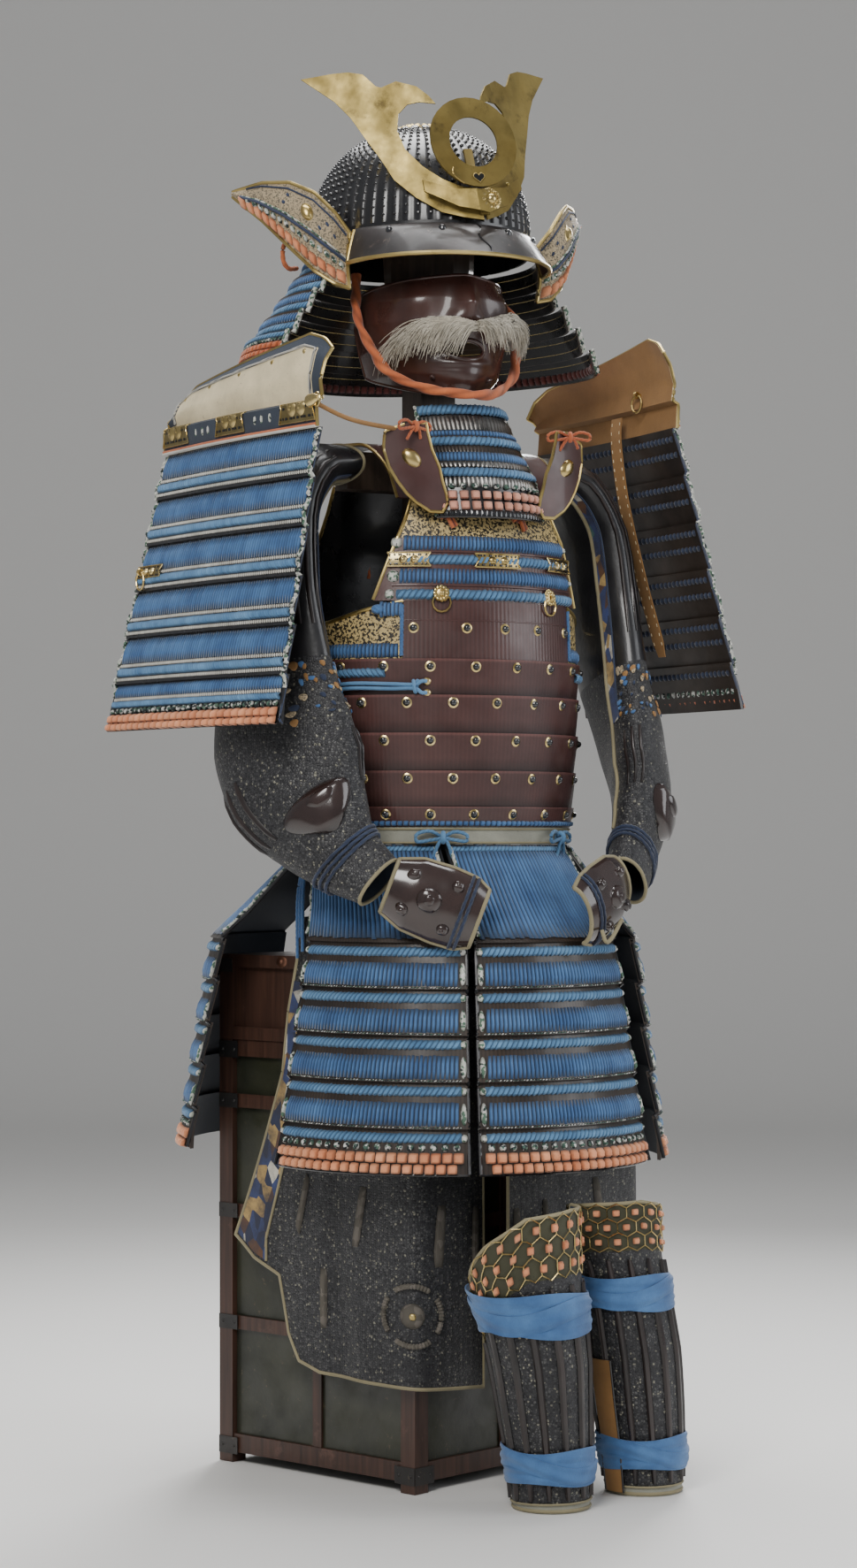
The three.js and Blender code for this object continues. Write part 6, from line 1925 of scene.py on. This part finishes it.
def make_shin_guard(name):
    x, y, facing, flare, slim, top, ties = SHINS[name]

    def surface(angle, z, out):
        radius, lean = columns(SHIN_FORM, z)
        wide = flare * smooth(z, 200, 320) * np.maximum(0, np.cos(np.radians(angle + 70)))
        reach = radius * (1 - slim * smooth(z, 60, 300)) + wide + out
        return ellipse(angle + facing, reach, reach, z, x - 27 * lean, y + 15 * lean)

    def height(angle):
        return columns(top, angle)[0]

    def cut(u, v, out):
        angle = -SHIN_HALF + 2 * SHIN_HALF * u
        return surface(angle, v * height(angle), out)

    build = Build()
    knee = 0.79 if name == "right" else 0.84

    def part(v0, v1, paint, down):
        def point(u, v, depth):
            v = v0 + (v1 - v0) * v
            quilt = 0.5 * np.sin(u * 60) * np.sin(v * 50) if paint is QUILT else 0
            return cut(u, v, quilt * (depth == 0) - 0.9 - depth)
        shell(build, point, 60, down, 2.6, paint, lining=NAVY_LEATHER)

    part(0.0, 0.03, PALE, 3)
    part(0.03, knee, MAIL, 40)
    part(knee, 1.0, QUILT, 24)
    cloth = build.dress(f"shin_guard_{name}", sharp=60)

    trim = Build()
    u, v = legs((60, 0, 1, 0.008, 0.008), (24, 1, 1, 0, 1), (60, 1, 0, 1, 1), (24, 0, 0, 1, 0))
    trace(trim, cut, u, v, -1.6, 2.3, OLIVE, sides=8)
    t = np.linspace(0, 1, 60)
    trace(trim, cut, t, 0.032, 0.2, 1.3, OLIVE, sides=6)
    # Glossy vertical splints between strips of mail.
    for centre in np.linspace(0.06, 0.94, 9):
        z0, z1 = 0.045, knee - 0.03
        gx, gy = np.meshgrid(np.linspace(-1, 1, 5), np.linspace(0, 1, 26))
        uu = centre + 0.019 * gx * (1 - 0.4 * (np.abs(2 * gy - 1) ** 12))
        high = np.clip(1 - np.abs(gx) ** 2, 0, 1) ** 0.5
        points = cut(uu, z0 + (z1 - z0) * gy, 0.2 + 3.4 * high).reshape(-1, 3)
        faces = outward(quads(4, 25), points, np.array([x, y, 150.0]))
        # Painted shade: each splint darkens from its ridge towards its edges.
        trim.add(points, faces, SPLINT, 0.6 + 0.4 * high)
    # Gold-threaded hexagons on the knee with a knot in each.
    long = Row(lambda a, z, o: cut(a, 0.9 + 0 * a, o), 0, 1, 0).length
    step = (1 - knee) / 3.25
    for k in range(3):
        share = knee + step * (0.62 + k)
        places = [s for s in np.arange(13 + 11 * (k % 2), long - 12, 22)]
        for s in places:
            a = np.radians(np.arange(0, 361, 30))
            reach = 12.7 * math.cos(math.pi / 6) / np.cos((a + math.pi / 6) % (math.pi / 3) - math.pi / 6)
            line = cut((s + reach * np.sin(a + math.pi / 6)) / long,
                       share + step * reach * np.cos(a + math.pi / 6) / 19, 0.8)
            tube(trim, line, 0.75, GILT, sides=4, tone=0.9)
        row = Row(lambda a, z, o: cut(a, share + z * step / 19, o), 0, 1, 0)
        knots(trim, row, 8.6, out=0.4, rise=3.4, tall=8.6, at=[s / long * row.length for s in places])
    trims = [trim.make(f"shin_guard_{name}_trim")]
    if name == "left":
        leather = Build()
        patch(leather, surface, -78, -44, 4, 154, 4.2, 12, 30, 1.2, TAN)
        for a in (-78, -44):
            z = np.linspace(4, 154, 30)
            trace(leather, surface, a, z, 4.4, 1.2, BLACK, sides=6)
        trims.append(leather.make("shin_guard_left_leather"))

    declare(cloth, cut, trims)
    for k, (z0, high) in enumerate(ties):
        tie = Build()

        def wrap(u, v, out):
            angle = -121 + 242 * u
            fade = np.sin(np.pi * np.clip(v, 0, 1)) ** 0.3
            crease = (1.4
                      * np.abs(np.sin(v * 6.5 + 1.6 * np.sin(u * 6 + k))) + 0.7 * np.sin(v * 27 + u * 9)) * fade
            return surface(angle, z0 + high * (v - 0.5) * (1 + 0.12 * np.sin(u * 11 + k)), 4.6 + crease + out)

        def over(u, v, out):
            angle = -100 + 190 * u
            middle = z0 + high * (0.24 * np.sin(6.3 * u + k * 2.2))
            crease = 0.8 * np.sin(v * 9 + u * 8) + 1.2 * np.sin(np.pi * v)
            ends = 1 - 0.5 * np.abs(2 * u - 1) ** 4
            return surface(angle, middle + high * 0.5 * (v - 0.5) * ends, 6.2 + crease + out)

        skin(tie, wrap, 64, 16, 1.4, BLUE)
        skin(tie, over, 50, 9, 1.2, BLUE)
        wide, first = cut_of(wrap)[::2]
        second = cut_of(over)[2]
        tie.make(f"shin_tie_{name}_{k + 1}", sharp=70)


make_shin_guard("right")
make_shin_guard("left")


# --------------------------------------- nodes that keep their solids
def repaint(node, paint):
    piece = frame["nodes"][node]
    if not piece.material_slots:
        piece.data.materials.append(paint)
    for entry in piece.material_slots:
        entry.material = paint


BRASS_PLAIN = metal("crest_brass", (0.2, 0.145, 0.045), (0.36, 0.28, 0.1), 0.44, (0.09, 0.065, 0.03), False,
                    0.54)
for node in ("crest_horns", "crest_disc", "crest_base"):
    repaint(node, BRASS_PLAIN)
RING_GOLD = metal("ring_gold", (0.4, 0.28, 0.09), (0.72, 0.55, 0.25), 0.26)
for node in ("chest_ring_right", "chest_ring_left", "shoulder_ring_right", "shoulder_ring_left"):
    repaint(node, RING_GOLD)
repaint("stand", BAR)
repaint("box_frame", WOOD)
repaint("box_lid", WOOD)
repaint("box_body", PANEL)


def box_place(points):
    p = np.asarray(points, float)
    return turned(p[..., 0], p[..., 1], p[..., 2], math.radians(BOX_TURN), 1, 52)


def make_box_fittings():
    build = Build()
    half = 159

    def side_surface(corner):
        """Outside faces of a corner post laid flat: a in millimetres from the corner, to both sides of it."""
        def surface(a, z, out):
            a, z, out = np.broadcast_arrays(a, z, out)
            x = np.where(a < 0, -half - out, -half + a)
            y = np.where(a < 0, -half - a, -half - out)
            turn = corner * math.pi / 2
            return box_place(turned(x, y, z, turn))
        return surface

    for corner in range(4):
        surface = side_surface(corner)
        for z0 in (20, 167, 300, 431, 492):
            high = 17 if z0 not in (20, 492) else 20
            for a0, a1 in ((-31, -0.01), (0.01, 31)):
                patch(build, surface, a0, a1, z0 - high / 2, z0 + high / 2, 1.0, 4, 2, 0.9, IRON)
            row = Row(surface, -31, 31, z0)
            rivets_at = [6, 25, 37, 56]
            dome(build, row, rivets_at, 4.2, 1.6, IRON, out=1.0, floor=0.9)
        # Corner straps of the lid.
        for a0, a1 in ((-22, -0.01), (0.01, 22)):
            patch(build, surface, a0, a1, 600, 584, 1.0, 4, 2, 0.9, IRON)
    for side in range(4):
        turn = side * math.pi / 2

        def face(a, z, out):
            a, z, out = np.broadcast_arrays(a, z, out)
            x, y = -half - out, -a
            return box_place(turned(x, y, z, turn))

        row = Row(face, -100, 100, 598)
        dome(build, row, 46, 13, 1.6, COPPER, 9, wide=17, out=0.2, floor=0.8)
        dome(build, row, 46, 7, 2.6, COPPER, 7, out=1.4, floor=0.8)
    build.make("box_fittings")


make_box_fittings()


# --------------------------------------- free cords and bows
def make_free_cords():
    def along(points):
        return on_trunk(*spline(points, 80).T)

    eyelets = Build()
    for z in (921, 908):
        row = Row(on_trunk, -34, -27, z)
        dome(eyelets, row, row.length / 2, 9, 2.6, GILT, 7, out=2.6, floor=0.9)
    eyelets.make("cord_eyelets")
    for k, (z, end) in enumerate(((921, 918), (908, 912.6))):
        free_cord(f"side_cord_{k + 1}", along([(-30.5, z, 6.4), (-32.5, z, 7.4), (-35.5, 915 + 2.2 - 4.4 * k,
                                                                                  6.6), (-45, end, 6.2),
                                               (-63, end + 1, 6.2), (-84, end - 4, 6.4),
                                               (-104, end - 10, 6.4)]), 4.4, BRAID, "object", sides=8)
    knot = Build()
    t = np.linspace(0, 6.6, 20)
    trace(knot, on_trunk, -35.6 + 0.25 * t, 915 + 6.4 * np.cos(t), 7.2 + 3.4 * np.sin(t), 2.2, BRAID, sides=7,
          up=(1, 0, 0))
    knot.make("side_cord_knot")
    free_cord("side_loop", along([(-66, 914, 8), (-66, 902, 10), (-68, 886, 11), (-72, 879, 11), (-76, 886, 11),
                                  (-78, 900, 10), (-78, 911, 8)]), 4.4, BRAID, "object", sides=8)
    for k, (angle, low) in enumerate(((-96.5, 612), (-98, 628), (-99.5, 604))):
        start = on_trunk(angle, 733, 4)
        path = [start, start + [-5, -1, -22], start + [-9 - k, -3 + 2 * k, -60],
                start + [-10 - k, -4 + 2 * k, low - 733]]
        free_cord(f"hip_cord_{k + 1}", spline(path, 50), 4.6, BLUE, twist=14, lobes=0.25, sides=8)
    for name, angle in (("waist_bow_right", -24), ("waist_bow_left", 36)):
        turn = math.radians(angle)
        bow(name, on_trunk(angle, 744, 4), (math.cos(turn), math.sin(turn), 0), 30, BRAID, 1.1)
    cap = cap_surface("right")
    start = cap(np.array(0.01), np.array(0.8), np.array(3.0))
    end = np.array([-101, -128, 1206.0])
    free_cord("shoulder_cord_right", spline([start, start * 0.6 + end * 0.4 + [0, -4, -8], end], 60), 5.5, TAN,
              "object", "taut", sides=8)
    tip = Build()
    at = cap(np.array(0.012), np.array(0.78), np.array(2.0))
    tube(tip, [at + [0, 4, 0], at + [0, -8, 1], at + [0, -15, 2]], np.array([8, 7, 3.5]), GILT, sides=12)
    turn = np.linspace(0, 2 * np.pi, 26)
    tube(tip, at + stack(0 * turn - 1, -12 + 7 * np.cos(turn), 8 * np.sin(turn)), 0.9, GILT, sides=6,
         up=(1, 0, 0))
    tip.make("cap_tip_right")


make_free_cords()
